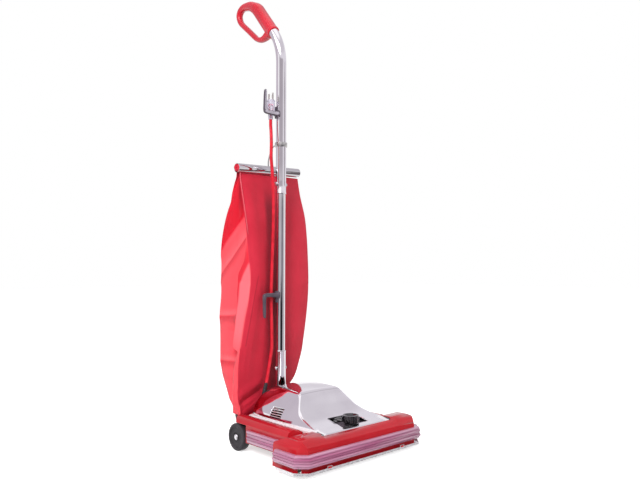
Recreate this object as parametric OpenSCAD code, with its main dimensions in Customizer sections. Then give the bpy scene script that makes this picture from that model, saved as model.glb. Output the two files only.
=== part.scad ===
// Upright vacuum cleaner for commercial floors: a wide powered nozzle with a beater brush,
// a vertical motor under a plated hood, a tubular handle that reclines, and a cloth bag.
// Sizes are millimetres. Pieces are drawn in a working frame whose origin is on the floor at
// the middle of the nozzle's front face, with y measured back from it.

/* [Nozzle] */
// Width of the red nozzle casting
nozzle_w = 400; // [360:1:440]
// Depth of the nozzle casting, front to back
nozzle_d = 100; // [96:1:104]
// Height of the nozzle's underside above the floor
nozzle_floor = 13; // [12:0.5:14]
// Height of the nozzle at its ends
nozzle_side_h = 67; // [64:1:74]
// Height of the nozzle along its middle
nozzle_top_h = 84; // [81:1:88]
// Height of the nozzle along its back edge
nozzle_back_h = 66; // [64:1:74]
// Chamfer of the nozzle's front corners, in plan
nozzle_corner = 20; // [12:1:28]
// Wall of the castings
wall = 3.5; // [3:0.5:4.5]

/* [Rear section] */
// Width of the casting behind the nozzle
rear_w = 330; // [320:1:340]
// Distance of the rear edge of the casting from the nozzle's front
rear_back = 306; // [300:1:312]
// Height of the raised shoulder along each side
shoulder_h = 85; // [84:1:90]
// Height of the deck that the hood stands on
deck_h = 77; // [74:1:79]

/* [Hood] */
// Width of the hood's skirt
hood_w = 234; // [224:2:244]
// Distance of the hood's front edge from the nozzle's front
hood_front = 27; // [22:1:32]
// Distance of the hood's rear wall from the nozzle's front
hood_back = 303; // [300:1:305]
// Height of the hood's flat top
hood_h = 151; // [148:1:156]
// Thickness of the plated hood
hood_wall = 1.8; // [1.2:0.2:2.4]
// Length of a cooling slot
slot_len = 39; // [30:1:44]
// Number of cooling slots
slots = 5; // [3:1:6]

/* [Floor plate and guards] */
// How far the steel floor plate stands out from the nozzle
plate_out = 10; // [4:0.5:13]
// Thickness of the floor plate
plate_t = 1.5; // [1:0.25:2]
// How far the soft guard stands out from the nozzle
guard_out = 14; // [10:0.5:16]
// Height of the guard's lower edge
guard_low = 21; // [18:1:24]
// Height of the guard's upper edge
guard_high = 54; // [50:1:58]
// Number of ribs on a guard
guard_ribs = 5; // [3:1:6]

/* [Wheels] */
// Diameter of a rear wheel
wheel_d = 68; // [60:1:70]
// Width of a rear wheel
wheel_w = 22; // [18:1:24]
// Distance of the rear axle from the nozzle's front
wheel_back = 288.5; // [284:0.5:292]
// Width over the outer faces of the rear wheels
wheel_track = 336; // [332:1:344]
// Diameter of a rear axle stud
axle_d = 9; // [8:0.5:10]
// Diameter of a front wheel
front_wheel_d = 28; // [26:1:30]

/* [Height adjustment] */
// Diameter of the height knob
knob_d = 43; // [38:1:46]
// Height of the knob's top above the floor
knob_top = 100; // [97:1:104]
// Distance of the knob from the middle plane
knob_x = 12; // [8:1:16]
// Distance of the knob from the nozzle's front
knob_back = 61; // [58:1:64]
// Travel of the front wheels between the lowest and the highest setting
lift = 3; // [2:0.5:3.5]
// Number of height settings
settings = 6; // [4:1:8]

/* [Brush] */
// Diameter of the brush roll's core
brush_d = 36; // [32:1:40]
// Diameter over the bristle tips
bristle_d = 52; // [48:1:54]
// Height of the brush roll's axis
brush_h = 31; // [30:0.5:32]
// Distance of the brush roll's axis from the nozzle's front
brush_back = 40; // [38:1:42]
// Diameter of the belt
belt_d = 5; // [4:0.5:6]

/* [Motor and fan] */
// Distance of the motor's axis from the nozzle's front
motor_back = 195; // [192:1:200]
// Outside diameter of the field core
field_d = 84; // [78:1:88]
// Diameter of the armature
rotor_d = 46; // [42:1:50]
// Height of the field core's stack
stack_h = 30; // [26:1:32]
// Diameter of the motor shaft
shaft_d = 8; // [7:0.5:9]
// Diameter of the fan
fan_d = 124; // [116:1:128]
// Number of fan blades
fan_blades = 6; // [5:1:8]
// Diameter of the belt pulley on the shaft
pulley_d = 14; // [13:0.5:16]

/* [Handle] */
// Distance of the handle from the nozzle's front
handle_back = 318.5; // [316:0.5:322]
// Height of the recline pivot
pivot_h = 98; // [96:1:102]
// Diameter of the recline pin
pin_d = 12; // [10:0.5:13]
// Outside diameter of the bottom socket tube
socket_od = 29.5; // [29:0.25:31]
// Outside diameter of the middle tube
middle_od = 25.4; // [24:0.2:26]
// Outside diameter of the upper tube
upper_od = 28.6; // [28:0.1:30]
// Height where the middle tube leaves the socket tube
lower_joint = 234; // [220:1:250]
// Height where the middle tube enters the upper tube
upper_joint = 663; // [640:1:690]
// Height where the upper tube starts to bend back
bend_start = 1030; // [1000:1:1050]
// Radius of that bend
bend_r = 155; // [140:1:170]
// Angle of the grip from upright
grip_angle = 39; // [34:1:42]

/* [Grip] */
// Length of the hand grip along its own axis
grip_len = 176; // [165:1:190]
// Diameter of the bar that the hand holds
grip_bar_d = 32.5; // [32:0.5:36]
// Distance of the guard rail from the hand bar
grip_gap = 72; // [66:1:78]

/* [Cord hooks] */
// Height of the upper hook's arm above the bag's clamp bar
hook_rise = 148; // [140:1:155]
// Height of the lower hook's arm
hook_low = 386; // [370:1:400]
// Reach of a hook to the left of the tube's middle
hook_reach = 62; // [56:1:66]
// Length of a hook's tip
hook_tip = 60; // [52:1:66]

/* [Bag] */
// Height of the clamp bar's middle
bar_h = 735; // [725:1:745]
// Length of the clamp bar
bar_len = 218; // [210:1:230]
// Distance of the clamp bar from the nozzle's front
bar_back = 375; // [370:1:378]
// Distance of the bag's rear from the nozzle's front
bag_rear = 467; // [450:1:475]

/* [Cord] */
// Diameter of the cord
cord_d = 9; // [8:0.5:9]

/* [Hidden] */
hook_high = bar_h + hook_rise;
$fn = 64;
gap = 0.3;          // clearance between pieces that move past each other
fit = 0.05;         // radial running clearance of a shaft in its hole
seat = 0.1;         // clearance of a piece that is dropped into its place

plate_z = nozzle_floor - plate_t;
rear_floor = 27;
chamber_r = bristle_d / 2 + 3;
brush_len = nozzle_w - 32;
fan_floor = 42;
fan_top = deck_h - 11;
fan_room_r = fan_d / 2 + 8;
channel_w = 92;
channel_top = 47;
field_z = deck_h + 8;
pulley_z = 22;
shaft_low = pulley_z - 8;
shaft_top = hood_h - 9;
knob_low = knob_top - 24;
skirt_low = deck_h - 5.8;

// placed() moves a piece from the working frame to the part's own frame.
module placed() { translate([0, front_y, 0]) children(); }
// both() repeats a piece on the left and on the right.
module both() { for (side = [-1, 1]) scale_x(side) children(); }
module scale_x(side) { if (side < 0) mirror([1, 0, 0]) children(); else children(); }
module rod(d, from, to) {
    // straight round bar between two points on a line along one axis
    v = to - from;
    translate(from) rotate([0, acos(v.z / norm(v)), atan2(v.y, v.x)]) cylinder(d = d, h = norm(v));
}
module slab(x0, x1, y0, y1, z0, z1) { translate([x0, y0, z0]) cube([x1 - x0, y1 - y0, z1 - z0]); }
module wheel_at(x, y, z, d, w) { translate([x, y, z]) rotate([0, 90, 0])
    cylinder(d = d, h = w, center = true); }

function unit(v) = v / norm(v);
function flow(p, i, ring) = let (n = len(p))
    unit((ring ? p[(i + 1) % n] : p[min(i + 1, n - 1)]) - (ring ? p[(i + n - 1) % n] : p[max(i - 1, 0)]));
// Catmull-Rom curve through hand-set points, with a number of steps between each two
function bend_at(p, i, t, ring) = let (n = len(p),
    a = p[ring ? (i + n - 1) % n : max(i - 1, 0)], b = p[i % n],
    c = p[ring ? (i + 1) % n : min(i + 1, n - 1)], d = p[ring ? (i + 2) % n : min(i + 2, n - 1)])
    0.5 * (2 * b + (c - a) * t + (2 * a - 5 * b + 4 * c - d) * t * t + (3 * b - a - 3 * c + d) * t * t * t);
function smooth_path(p, steps, ring = false) = [
    for (i = [0 : len(p) - (ring ? 1 : 2)], s = [0 : steps - 1]) bend_at(p, i, s / steps, ring),
    if (!ring) p[len(p) - 1]];
// Solid that follows a path. Each ring is an ellipse: wide across side_dir, tall across the rest.
module sweep(path, wide, tall, side_dir, sides, ring = false) {
    n = len(path);
    pts = [for (i = [0 : n - 1]) let (t = flow(path, i, ring),
            u = unit(side_dir - (side_dir * t) * t), v = cross(t, u))
        for (k = [0 : sides - 1])
            path[i] + wide[i] / 2 * cos(360 * k / sides) * u + tall[i] / 2 * sin(360 * k / sides) * v];
    walls = [for (i = [0 : n - (ring ? 1 : 2)], k = [0 : sides - 1]) let (j = (i + 1) % n, m = (k + 1)
        % sides)
        [i * sides + k, j * sides + k, j * sides + m, i * sides + m]];
    caps = ring ? [] : [[for (k = [0 : sides - 1]) k], [for (k = [sides - 1 : -1 : 0])
        (n - 1) * sides + k]];
    polyhedron(pts, concat(walls, caps), convexity = 6);
}
function same(n, v) = [for (i = [0 : n - 1]) v];
// Solid through cross-sections of equally many points, each listed with its distance back
module loft(sections) {
    n = len(sections);
    s = len(sections[0]);
    pts = [for (q = sections) each q];
    walls = [for (i = [0 : n - 2], k = [0 : s - 1]) let (m = (k + 1) % s)
        each [[i * s + k, (i + 1) * s + k, (i + 1) * s + m], [i * s + k, (i + 1) * s + m, i * s + m]]];
    caps = [[for (k = [0 : s - 1]) k], [for (k = [s - 1 : -1 : 0]) (n - 1) * s + k]];
    polyhedron(pts, concat(walls, caps), convexity = 8);
}

// ---------- nozzle and rear casting ----------
// Plan of the nozzle grown outwards by out: chamfered front corners, square back
function nozzle_plan(out, back) = let (h = nozzle_w / 2 + out, c = nozzle_corner + out * 0.4)
    [[-h, back], [-h, c - out], [c - h, -out], [h - c, -out], [h, c - out], [h, back]];
module nozzle_shape() {
    intersection() {
        translate([0, 0, nozzle_floor]) linear_extrude(nozzle_top_h) polygon(nozzle_plan(0, nozzle_d));
        // front-to-back profile with a quarter-round front edge
        rotate([90, 0, 90]) linear_extrude(nozzle_w + 2, center = true) union() {
            round_r = nozzle_top_h - guard_high;
            translate([0, nozzle_floor]) square([nozzle_d, guard_high - nozzle_floor]);
            intersection() {
                translate([round_r, guard_high]) circle(r = round_r, $fn = 96);
                translate([0, guard_high]) square([round_r, 60]);
            }
            polygon([[round_r, guard_high], [nozzle_d, guard_high], [nozzle_d, nozzle_back_h],
                [56, nozzle_top_h - 1], [round_r, nozzle_top_h]]);
        }
        // end profile: the top rolls down to the lower ends
        rotate([90, 0, 0]) linear_extrude(2 * nozzle_d + 4, center = true) union() {
            r = nozzle_top_h - nozzle_side_h + 6;
            translate([-nozzle_w / 2, 0]) square([nozzle_w, nozzle_side_h - 6]);
            translate([-nozzle_w / 2 + r, 0]) square([nozzle_w - 2 * r, nozzle_top_h]);
            for (side = [-1, 1]) translate([side * (nozzle_w / 2 - r), nozzle_side_h - 6])
                circle(r = r, $fn = 96);
        }
    }
}
module rear_shape() {
    intersection() {
        translate([0, 0, rear_floor]) linear_extrude(shoulder_h) polygon([
            [-rear_w / 2, nozzle_d - 10], [-rear_w / 2, rear_back - 14], [-rear_w / 2 + 12, rear_back - 3],
            [-rear_w / 2 + 40, rear_back + 3], [-60, handle_back + 20], [60, handle_back + 20],
            [rear_w / 2 - 40, rear_back + 3], [rear_w / 2 - 12, rear_back - 3],
                [rear_w / 2, rear_back - 14],
            [rear_w / 2, nozzle_d - 10]]);
        rotate([90, 0, 0]) translate([0, 0, -handle_back - 22]) linear_extrude(handle_back) polygon([
            [-rear_w / 2, 0], [-rear_w / 2, shoulder_h - 14], [-rear_w / 2 + 5, shoulder_h - 5],
            [-rear_w / 2 + 16, shoulder_h], [-rear_w / 2 + 34, shoulder_h - 2], [-hood_w / 2 - 4, deck_h],
            [hood_w / 2 + 4, deck_h], [rear_w / 2 - 34, shoulder_h - 2], [rear_w / 2 - 16, shoulder_h],
            [rear_w / 2 - 5, shoulder_h - 5], [rear_w / 2, shoulder_h - 14], [rear_w / 2, 0]]);
    }
}
module base_housing() placed() color("crimson") difference() {
    union() {
        nozzle_shape();
        rear_shape();
        // ears that carry the recline pin
        for (side = [-1, 1]) translate([side * (ear_x + ear_t / 2), handle_back, 0]) {
            translate([0, 0, pivot_h]) rotate([0, 90, 0]) cylinder(r = ear_r, h = ear_t, center = true);
            translate([-ear_t / 2, -ear_r, deck_h - 4]) cube([ear_t, 2 * ear_r, pivot_h - deck_h + 4]);
        }
    }
    // recess in the nozzle's top under the hood, and the groove that the hood's skirt stands in
    slab(-hood_w / 2 - 2.5, hood_w / 2 + 2.5, hood_front - 0.5, nozzle_d + 14, deck_h, 120);
    difference() {
        slab(-hood_w / 2 - 2.5, hood_w / 2 + 2.5, hood_front - 0.5, hood_back + 0.5, skirt_low - gap, 120);
        slab(-hood_w / 2 + 5, hood_w / 2 - 5, hood_front + 12, hood_back - 7, 0, 130);
    }
    // brush chamber and its mouth in the floor
    chamber_w = nozzle_w - 2 * wall;
    wheel_at(0, brush_back, brush_h, 2 * chamber_r, chamber_w);
    slab(-chamber_w / 2, chamber_w / 2, brush_back - chamber_r, brush_back + chamber_r, 0, brush_h);
    // air and belt channel from the chamber to the fan's eye
    slab(-channel_w / 2, channel_w / 2, brush_back, motor_back + 34, 0, fan_floor - 3);
    slab(-channel_w / 2, channel_w / 2, brush_back, motor_back - fan_room_r - wall, 0, channel_top);
    // fan room, open below and shut by the fan cover, with its outlet pipe to the left rear
    translate([0, motor_back, fan_floor]) cylinder(r = fan_room_r, h = fan_top - fan_floor);
    translate([0, motor_back, 0]) cylinder(r = fan_room_r + 6, h = fan_floor);
    outlet(outlet_d, 24);
    translate(outlet_to - [0, 2, 0]) rotate([-90, 0, 0]) cylinder(d = pipe_d + 2 * seat, h = 60);
    // shaft hole, bearing seat and motor recess
    translate([0, motor_back, 0]) cylinder(d = shaft_d + 4, h = 200);
    translate([0, motor_back, fan_top + 3]) cylinder(d = bearing_d + 2 * seat, h = 60);
    // wheel arches and axle holes
    both() slab(wheel_track / 2 - wheel_w - 3, rear_w, wheel_back - wheel_d / 2 - 5,
        wheel_back + wheel_d / 2 + 5,
        0, wheel_d + 2);
    both() wheel_at(wheel_track / 2 - wheel_w - 12, wheel_back, wheel_d / 2, axle_d + 2 * seat, 24);
    // carriage pockets: side arms with the holes of their pins, cross bar and finger
    both() slab(arm_x - 6, arm_x + 26, carriage_y - 16, pivot_y + 10, 0, 61);
    both() wheel_at(arm_x + 30, pivot_y, pivot_z, pivot_pin_d + 2 * fit, 30);
    slab(-arm_x, arm_x, carriage_y - 8, carriage_y + 8, bridge_z - 1.5, 61);
    slab(knob_x - 6, knob_x + 6, knob_back + 8, carriage_y, finger_z - 5, deck_h + 1);
    slab(knob_x - 6, knob_x + 6, carriage_y - 8, carriage_y + 8, bridge_z, deck_h + 1);
    // room for the cam, and the seat of the dial plate over it
    translate([knob_x, knob_back, finger_z - 0.3]) cylinder(r = 19, h = 40);
    slab(window_x - dial_w / 2 - seat, window_x + dial_w / 2 + seat, window_y - dial_d / 2 - seat,
        window_y + dial_d / 2 + seat, deck_h - 3, deck_h + 1);
    // recline pin holes
    wheel_at(0, handle_back, pivot_h, pin_d + 2 * fit, 200);
    rear_hollow();
    // pedal pin holes
    wheel_at(pedal_x, pedal_y, pedal_z, pedal_pin_d + 2 * seat, pedal_w + 12);
    slab(pedal_x - pedal_w / 2 - 1, pedal_x + pedal_w / 2 + 1, pedal_y - 5, rear_back + 60,
        pedal_z - 5, 120);
    translate([pedal_x, pedal_y + 12, pedal_z - 13]) cylinder(d = 9, h = 20);
}
// Space inside the thin-walled rear casting, round the blocks that are left standing in it
module rear_hollow() difference() {
    slab(-rear_w / 2 + wall, rear_w / 2 - wall, nozzle_d + wall, rear_back - 12, 0, deck_h - 8);
    translate([0, motor_back, -1]) cylinder(r = fan_room_r + 6 + wall, h = 100);
    slab(-channel_w / 2 - wall, channel_w / 2 + wall, 0, motor_back, -1, 100);
    both() slab(arm_x - 6 - wall, arm_x + 26 + wall, 0, pivot_y + 10 + wall, -1, 100);
    both() wheel_at(arm_x + 26 + wall + 3, pivot_y, pivot_z, 16, 14);
    both() slab(wheel_track / 2 - wheel_w - 3 - wall, rear_w, wheel_back - wheel_d / 2 - 5 - wall, 400,
        -1, 100);
    both() wheel_at(wheel_track / 2 - wheel_w - 12, wheel_back, wheel_d / 2, axle_d + 12, 28);
    outlet(outlet_d + 2 * wall, 24 + 2 * wall);
    slab(outlet_to.x - pipe_d / 2 - wall, outlet_to.x + pipe_d / 2 + wall, outlet_to.y - 16, 400, -1, 100);
    slab(pedal_x - pedal_w / 2 - 1 - wall, pedal_x + pedal_w / 2 + 1 + wall, pedal_y - 5 - wall, 400,
        -1, 100);
    slab(-ear_x - ear_t - 10, ear_x + ear_t + 10, 262, 400, -1, 100);
}
ear_t = 9;
ear_x = 33;
ear_r = 13;
outlet_d = 36;
pipe_d = outlet_d + 5;
bearing_d = 22;
arm_x = 76;
carriage_y = 98;
pivot_y = 160;
pivot_z = 22;
pivot_pin_d = 6;
bridge_z = 51;
finger_z = 62;
pedal_x = 86;
pedal_y = rear_back + 2;
pedal_z = 80;
pedal_w = 30;
pedal_pin_d = 4;
outlet_from = [-58, 215, (fan_floor + fan_top) / 2];
outlet_to = [-92, 312, 48];
module outlet(wide, narrow) {
    v = outlet_to - outlet_from;
    translate(outlet_from) rotate([0, acos(v.z / norm(v)), atan2(v.y, v.x)])
        cylinder(d1 = narrow, d2 = wide, h = norm(v));
}

// ---------- hood ----------
// Half-profile of the hood at a distance back: skirt, side, shoulder, corner and crown
function hood_half(y) = lookup(y, [[hood_front, hood_w / 2 - 2], [60, hood_w / 2],
    [hood_back, hood_w / 2]]);
function hood_corner_x(y) = lookup(y, [[hood_front, 114], [103, 98], [130, 92], [160, 68], [230, 63],
    [303, 42]]);
function hood_corner_z(y) = lookup(y, [[hood_front, 79], [62, 85], [88, 90.5], [103, 95], [118, 101],
    [130, 108],
    [140, 121], [152, hood_h - 13], [160, hood_h - 5], [172, hood_h - 2], [230, hood_h], [285, hood_h - 5],
    [303, hood_h - 10]]);
function hood_crown(y) = lookup(y, [[hood_front, 0], [130, 1], [165, 2], [230, 3], [303, 3]]);
function hood_section(y, in) = let (h = hood_half(y) - in, cx = hood_corner_x(y) - in * 1.2,
    cz = hood_corner_z(y) - in * 1.1, top = cz + hood_crown(y),
        low = in > 0 ? skirt_low - 5 : skirt_low, sk = min(81, cz - 0.8),
    bulge = lookup(y, [[hood_front, 0], [130, 1.5], [230, 5], [303, 9]]))
    let (half = [[0, top], [cx * 0.5, top - 0.25 * (top - cz)], [cx - 3, cz + 0.5], [cx, cz - 1.5],
        [cx + (h - 3 - cx) * 0.33 + bulge, cz - 1.5 - (cz - 1.5 - sk) * 0.33],
        [cx + (h - 3 - cx) * 0.66 + bulge, cz - 1.5 - (cz - 1.5 - sk) * 0.66],
        [h - 3, sk], [h, sk - 1.5], [h, low]])
    [for (p = half) [p[0], y, p[1]], for (i = [len(half) - 1 : -1 : 1]) [-half[i][0], y, half[i][1]]];
hood_stations = [hood_front, 62, 88, 103, 112, 118, 124, 130, 135, 140, 146, 152, 157, 163, 172, 200,
    230, 258, 285];
module hood_body(in, from, to) {
    loft([for (y = concat([from], [for (s = hood_stations) if (s > from + 1 && s < to - 1) s], [to]))
        hood_section(y, in)]);
}
slot_y = 178;
slot_z = 108.5;
module hood() placed() color("silver") difference() {
    intersection() {
        hood_body(0, hood_front, hood_back + 6);
        slab(-hood_w, hood_w, -20, hood_back, 0, 200);
    }
    intersection() {
        hood_body(hood_wall, hood_front + hood_wall, hood_back + 6);
        slab(-hood_w, hood_w, -20, hood_back - hood_wall, 0, 200);
    }
    // dial window
    translate([window_x, window_y, 60]) linear_extrude(50) square([window_w, window_d], center = true);
    // cooling slots, one above the other on the left and right sides
    both() for (i = [0 : slots - 1])
        slab(88, 130, slot_y, slot_y + slot_len, slot_z - i * 5.4, slot_z + 3.1 - i * 5.4);
    // notch for the handle and hole for the cord
    slab(-31, 31, 279, 340, 60, 200);
    slab(-46, 46, hood_back - 2.2, hood_back + 1, 60, 114);
    translate([relief_x, hood_back - 10, relief_z]) rotate([-90, 0, 0])
        cylinder(d = (14 + 2 * seat) / cos(15), h = 20,
        $fn = 12);
}
window_x = 11;
window_y = 70;
window_w = 90;
window_d = 50;
relief_x = -57;
relief_z = 105;
dial_w = window_w + 12;
dial_d = window_d + 12;
module dial_plate() placed() color("dimgray") difference() {
    slab(window_x - dial_w / 2, window_x + dial_w / 2, window_y - dial_d / 2, window_y + dial_d / 2,
        deck_h - 3,
        knob_low - gap);
    translate([knob_x, knob_back, 0]) cylinder(d = stem_d + 2 * gap, h = 200);
}

// ---------- floor plate, latches and guards ----------
tongue_w = 112;
tongue_back = 236;
module bottom_plate() placed() color("gainsboro") difference() {
    union() {
        translate([0, 0, plate_z]) linear_extrude(plate_t) polygon(nozzle_plan(plate_out, 78));
        // turned-up rim round the front and sides
        difference() {
            translate([0, 0, plate_z]) linear_extrude(6) polygon(nozzle_plan(plate_out, 78));
            translate([0, 0, plate_z - 1]) linear_extrude(9) polygon(nozzle_plan(plate_out - plate_t, 79));
        }
        slab(-tongue_w / 2, tongue_w / 2, 77, tongue_back, plate_z, plate_z + plate_t);
        // raised loops round the front lugs
        for (x = [-117, 130]) difference() {
            slab(x - 11, x + 11, -plate_out, plate_t - plate_out, plate_z, 17);
            slab(x - 7, x + 7, -plate_out - 1, 3 - plate_out, 10, 14.5);
        }
    }
    // brush mouth, with a bar each side of the belt
    difference() {
        slab(12 - nozzle_w / 2, nozzle_w / 2 - 12, 14, 67, 0, 20);
        for (x = [-7, 7]) slab(x - 1.2, x + 1.2, 0, 80, plate_z, plate_z + plate_t);
    }
}
module plate_latch(side) {
    // turn latch on a stud behind the plate: its nose reaches under the plate's rear edge
    color("silver") translate([side * 40, tongue_back + 6, plate_z - 2]) {
        cylinder(d = 14, h = 1.7);
        translate([-4, -16, 0]) cube([8, 16, 1.7]);
        cylinder(d = 6, h = fan_floor - 3 - gap - plate_z + 2);
    }
}
module plate_latch_left() placed() plate_latch(-1);
module plate_latch_right() placed() plate_latch(1);

// Soft ribbed strip: alternate bands stand out more, and the edges are thin lips
module guard_bands(low, high, ribs, plan_out, plan_in) {
    pitch = (high - low) / ribs;
    for (i = [0 : ribs - 1]) translate([0, 0, low + i * pitch]) {
        linear_extrude(pitch * 0.25) difference() { polygon(plan_out[0]); polygon(plan_in); }
        translate([0, 0, pitch * 0.25]) linear_extrude(pitch * 0.75) difference() {
            polygon(plan_out[i % 2 + 1]); polygon(plan_in); }
    }
}
guard_back = 84;
module front_guard() placed() color("orchid", 0.6) difference() {
    guard_bands(guard_low, guard_high, guard_ribs,
        [nozzle_plan(guard_out - 3.4, guard_back), nozzle_plan(guard_out - 2, guard_back),
         nozzle_plan(guard_out, guard_back)], nozzle_plan(0.1, guard_back + 2));
    // hollow behind the face: a top lip and a bottom lip reach in to the casting
    translate([0, 0, guard_low + 5]) linear_extrude(guard_high - guard_low - 10)
        polygon(nozzle_plan(guard_out - 6,
        guard_back - 4));
}
side_guard_from = 108;
side_guard_to = 240;
module side_guard(side) {
    color("orchid", 0.6) scale_x(side) guard_bands(31, 60, 4,
        [for (out = [5.5, 7, 8.5]) [[rear_w / 2 + 0.1, side_guard_from],
            [rear_w / 2 + out - 3, side_guard_from],
            [rear_w / 2 + out, side_guard_from + 4], [rear_w / 2 + out, side_guard_to - 4],
            [rear_w / 2 + out - 3, side_guard_to], [rear_w / 2 + 0.1, side_guard_to]]],
        [[0, 0], [1, 0], [0, 1]]);
}
module side_guard_left() placed() side_guard(-1);
module side_guard_right() placed() side_guard(1);

// ---------- height adjustment ----------
module height_knob() placed() color("dimgray") difference() {
    translate([knob_x, knob_back, knob_low]) union() {
        cylinder(d = 30, h = 24);
        translate([0, 0, 8]) cylinder(d = knob_d - 4, h = 16);
        // finger lobes over the edge of the window
        for (a = [0 : 45 : 315]) rotate(a) translate([knob_d / 2 - 5, 0, 8]) cylinder(d = 10, h = 12);
    }
    translate([knob_x, knob_back, knob_top + 22]) sphere(d = 56);
    translate([knob_x, knob_back, knob_low - 1]) cylinder(d = stem_d + 2 * seat, h = 12);
}
stem_d = 10;
cam_top = deck_h - 3 - gap;
cam_floor = finger_z + 6.5;
// How far the finger rises between the first and the last setting
finger_lift = lift * (pivot_y - knob_back - 14) / (pivot_y - carriage_y);
module height_cam() placed() color("white") translate([knob_x, knob_back, 0]) {
    translate([0, 0, cam_floor]) cylinder(r = 18, h = cam_top - cam_floor);
    translate([0, 0, cam_top - 1]) cylinder(d = stem_d, h = knob_low + 10.5 - cam_top + 1);
    // stepped ramp under the disc, one step for each setting, deepest at the back
    turn = 180 / (settings - 1);
    for (k = [0 : settings - 1]) {
        rise = gap + finger_lift * (k * turn + turn / 2 + 9) / 180;
        a = 90 - k * turn;
        translate([0, 0, finger_z + rise]) linear_extrude(cam_floor - finger_z - rise + 0.5) polygon([
            for (q = [[11, -0.5], [17, -0.5], [17.5, 0], [17, 0.5], [11, 0.5]])
                q[0] * [cos(a + q[1] * turn), sin(a + q[1] * turn)]]);
    }
}
module front_carriage() placed() color("slategray") difference() {
    union() {
        // side arms from the hinge to the wheel
        both() slab(arm_x - 2.5, arm_x + 2.5, carriage_y, pivot_y, 14, 22);
        both() wheel_at(arm_x, pivot_y, pivot_z, 15, 5);
        both() wheel_at(arm_x, carriage_y, 16, 15, 5);
        // risers, cross bar and the finger under the cam
        both() slab(arm_x - 2.5, arm_x + 2.5, carriage_y - 5, carriage_y + 5, 16, bridge_z + 4);
        slab(-arm_x, arm_x, carriage_y - 4, carriage_y + 4, bridge_z, bridge_z + 4);
        slab(knob_x - 2, knob_x + 2, carriage_y - 4, carriage_y + 4, bridge_z + 1, finger_z);
        slab(knob_x - 2, knob_x + 2, knob_back + 10, carriage_y, finger_z - 4, finger_z);
    }
    wheel_at(0, pivot_y, pivot_z, pivot_pin_d + 2 * seat, 200);
    wheel_at(0, carriage_y, front_wheel_d / 2, 5 + 2 * seat, 200);
}
front_wheel_x = arm_x + 12;
module carriage_pins() placed() color("silver") both() {
    wheel_at(arm_x + 13, pivot_y, pivot_z, pivot_pin_d, 36);
    wheel_at(arm_x + 10, carriage_y, front_wheel_d / 2, 5, 26);
}
module front_wheel(side) color("dimgray") difference() {
    wheel_at(side * front_wheel_x, carriage_y, front_wheel_d / 2, front_wheel_d, 14);
    wheel_at(side * front_wheel_x, carriage_y, front_wheel_d / 2, 5 + 2 * fit, 30);
}
module front_wheel_left() placed() front_wheel(-1);
module front_wheel_right() placed() front_wheel(1);

// ---------- rear wheels ----------
wheel_x = (wheel_track - wheel_w) / 2;
module rear_wheel(side) color("dimgray") difference() {
    translate([side * wheel_x, wheel_back, wheel_d / 2]) rotate([0, side * 90, 0])
        rotate_extrude($fn = 96) polygon([
        [axle_d / 2 + fit, -wheel_w / 2], [wheel_d / 2 - 4, -wheel_w / 2], [wheel_d / 2, -wheel_w / 2 + 4],
        [wheel_d / 2, wheel_w / 2 - 4], [wheel_d / 2 - 4, wheel_w / 2], [wheel_d / 2 - 8, wheel_w / 2],
        [wheel_d / 2 - 9, wheel_w / 2 - 1.5], [12, wheel_w / 2 - 1.5], [11, wheel_w / 2 - 4],
            [axle_d / 2 + fit,
        wheel_w / 2 - 4]]);
}
module rear_wheel_left() placed() rear_wheel(-1);
module rear_wheel_right() placed() rear_wheel(1);
module rear_axles() placed() color("silver") both()
    wheel_at(wheel_track / 2 - wheel_w / 2 - 14, wheel_back, wheel_d / 2, axle_d, wheel_w + 20);
module axle_caps() placed() color("silver") both() wheel_at(wheel_track / 2 - 1.6, wheel_back,
    wheel_d / 2, 15, 3);

// ---------- brush ----------
module brush_roll() placed() color("burlywood") difference() {
    wheel_at(0, brush_back, brush_h, brush_d, brush_len);
    wheel_at(0, brush_back, brush_h, 8 + 2 * fit, brush_len + 10);
    // belt groove
    translate([0, brush_back, brush_h]) rotate([0, 90, 0]) rotate_extrude() translate([brush_d / 2, 0])
        square([9, 12], center = true);
}
module brush_strips() placed() color("black")
    // two bristle rows, split at the belt groove
    for (side = [-1, 1], turn = [0, 180]) translate([side * (brush_len / 4 + 3), brush_back, brush_h])
        rotate([0, 90, 0]) rotate(turn) linear_extrude(brush_len / 2 - 20, center = true,
            twist = 150 * side,
            slices = 12, $fn = 8) translate([brush_d / 2 + seat, -2.5])
            square([(bristle_d - brush_d) / 2 - seat, 5]);
module brush_shaft() placed() color("silver") wheel_at(0, brush_back, brush_h, 8, nozzle_w - 2 * wall - 1);
module brush_end_caps() placed() color("black") both() difference() {
    wheel_at(nozzle_w / 2 - wall - 5, brush_back, brush_h, 34, 9);
    wheel_at(nozzle_w / 2 - wall - 5, brush_back, brush_h, 8 + 2 * seat, 20);
}
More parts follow.
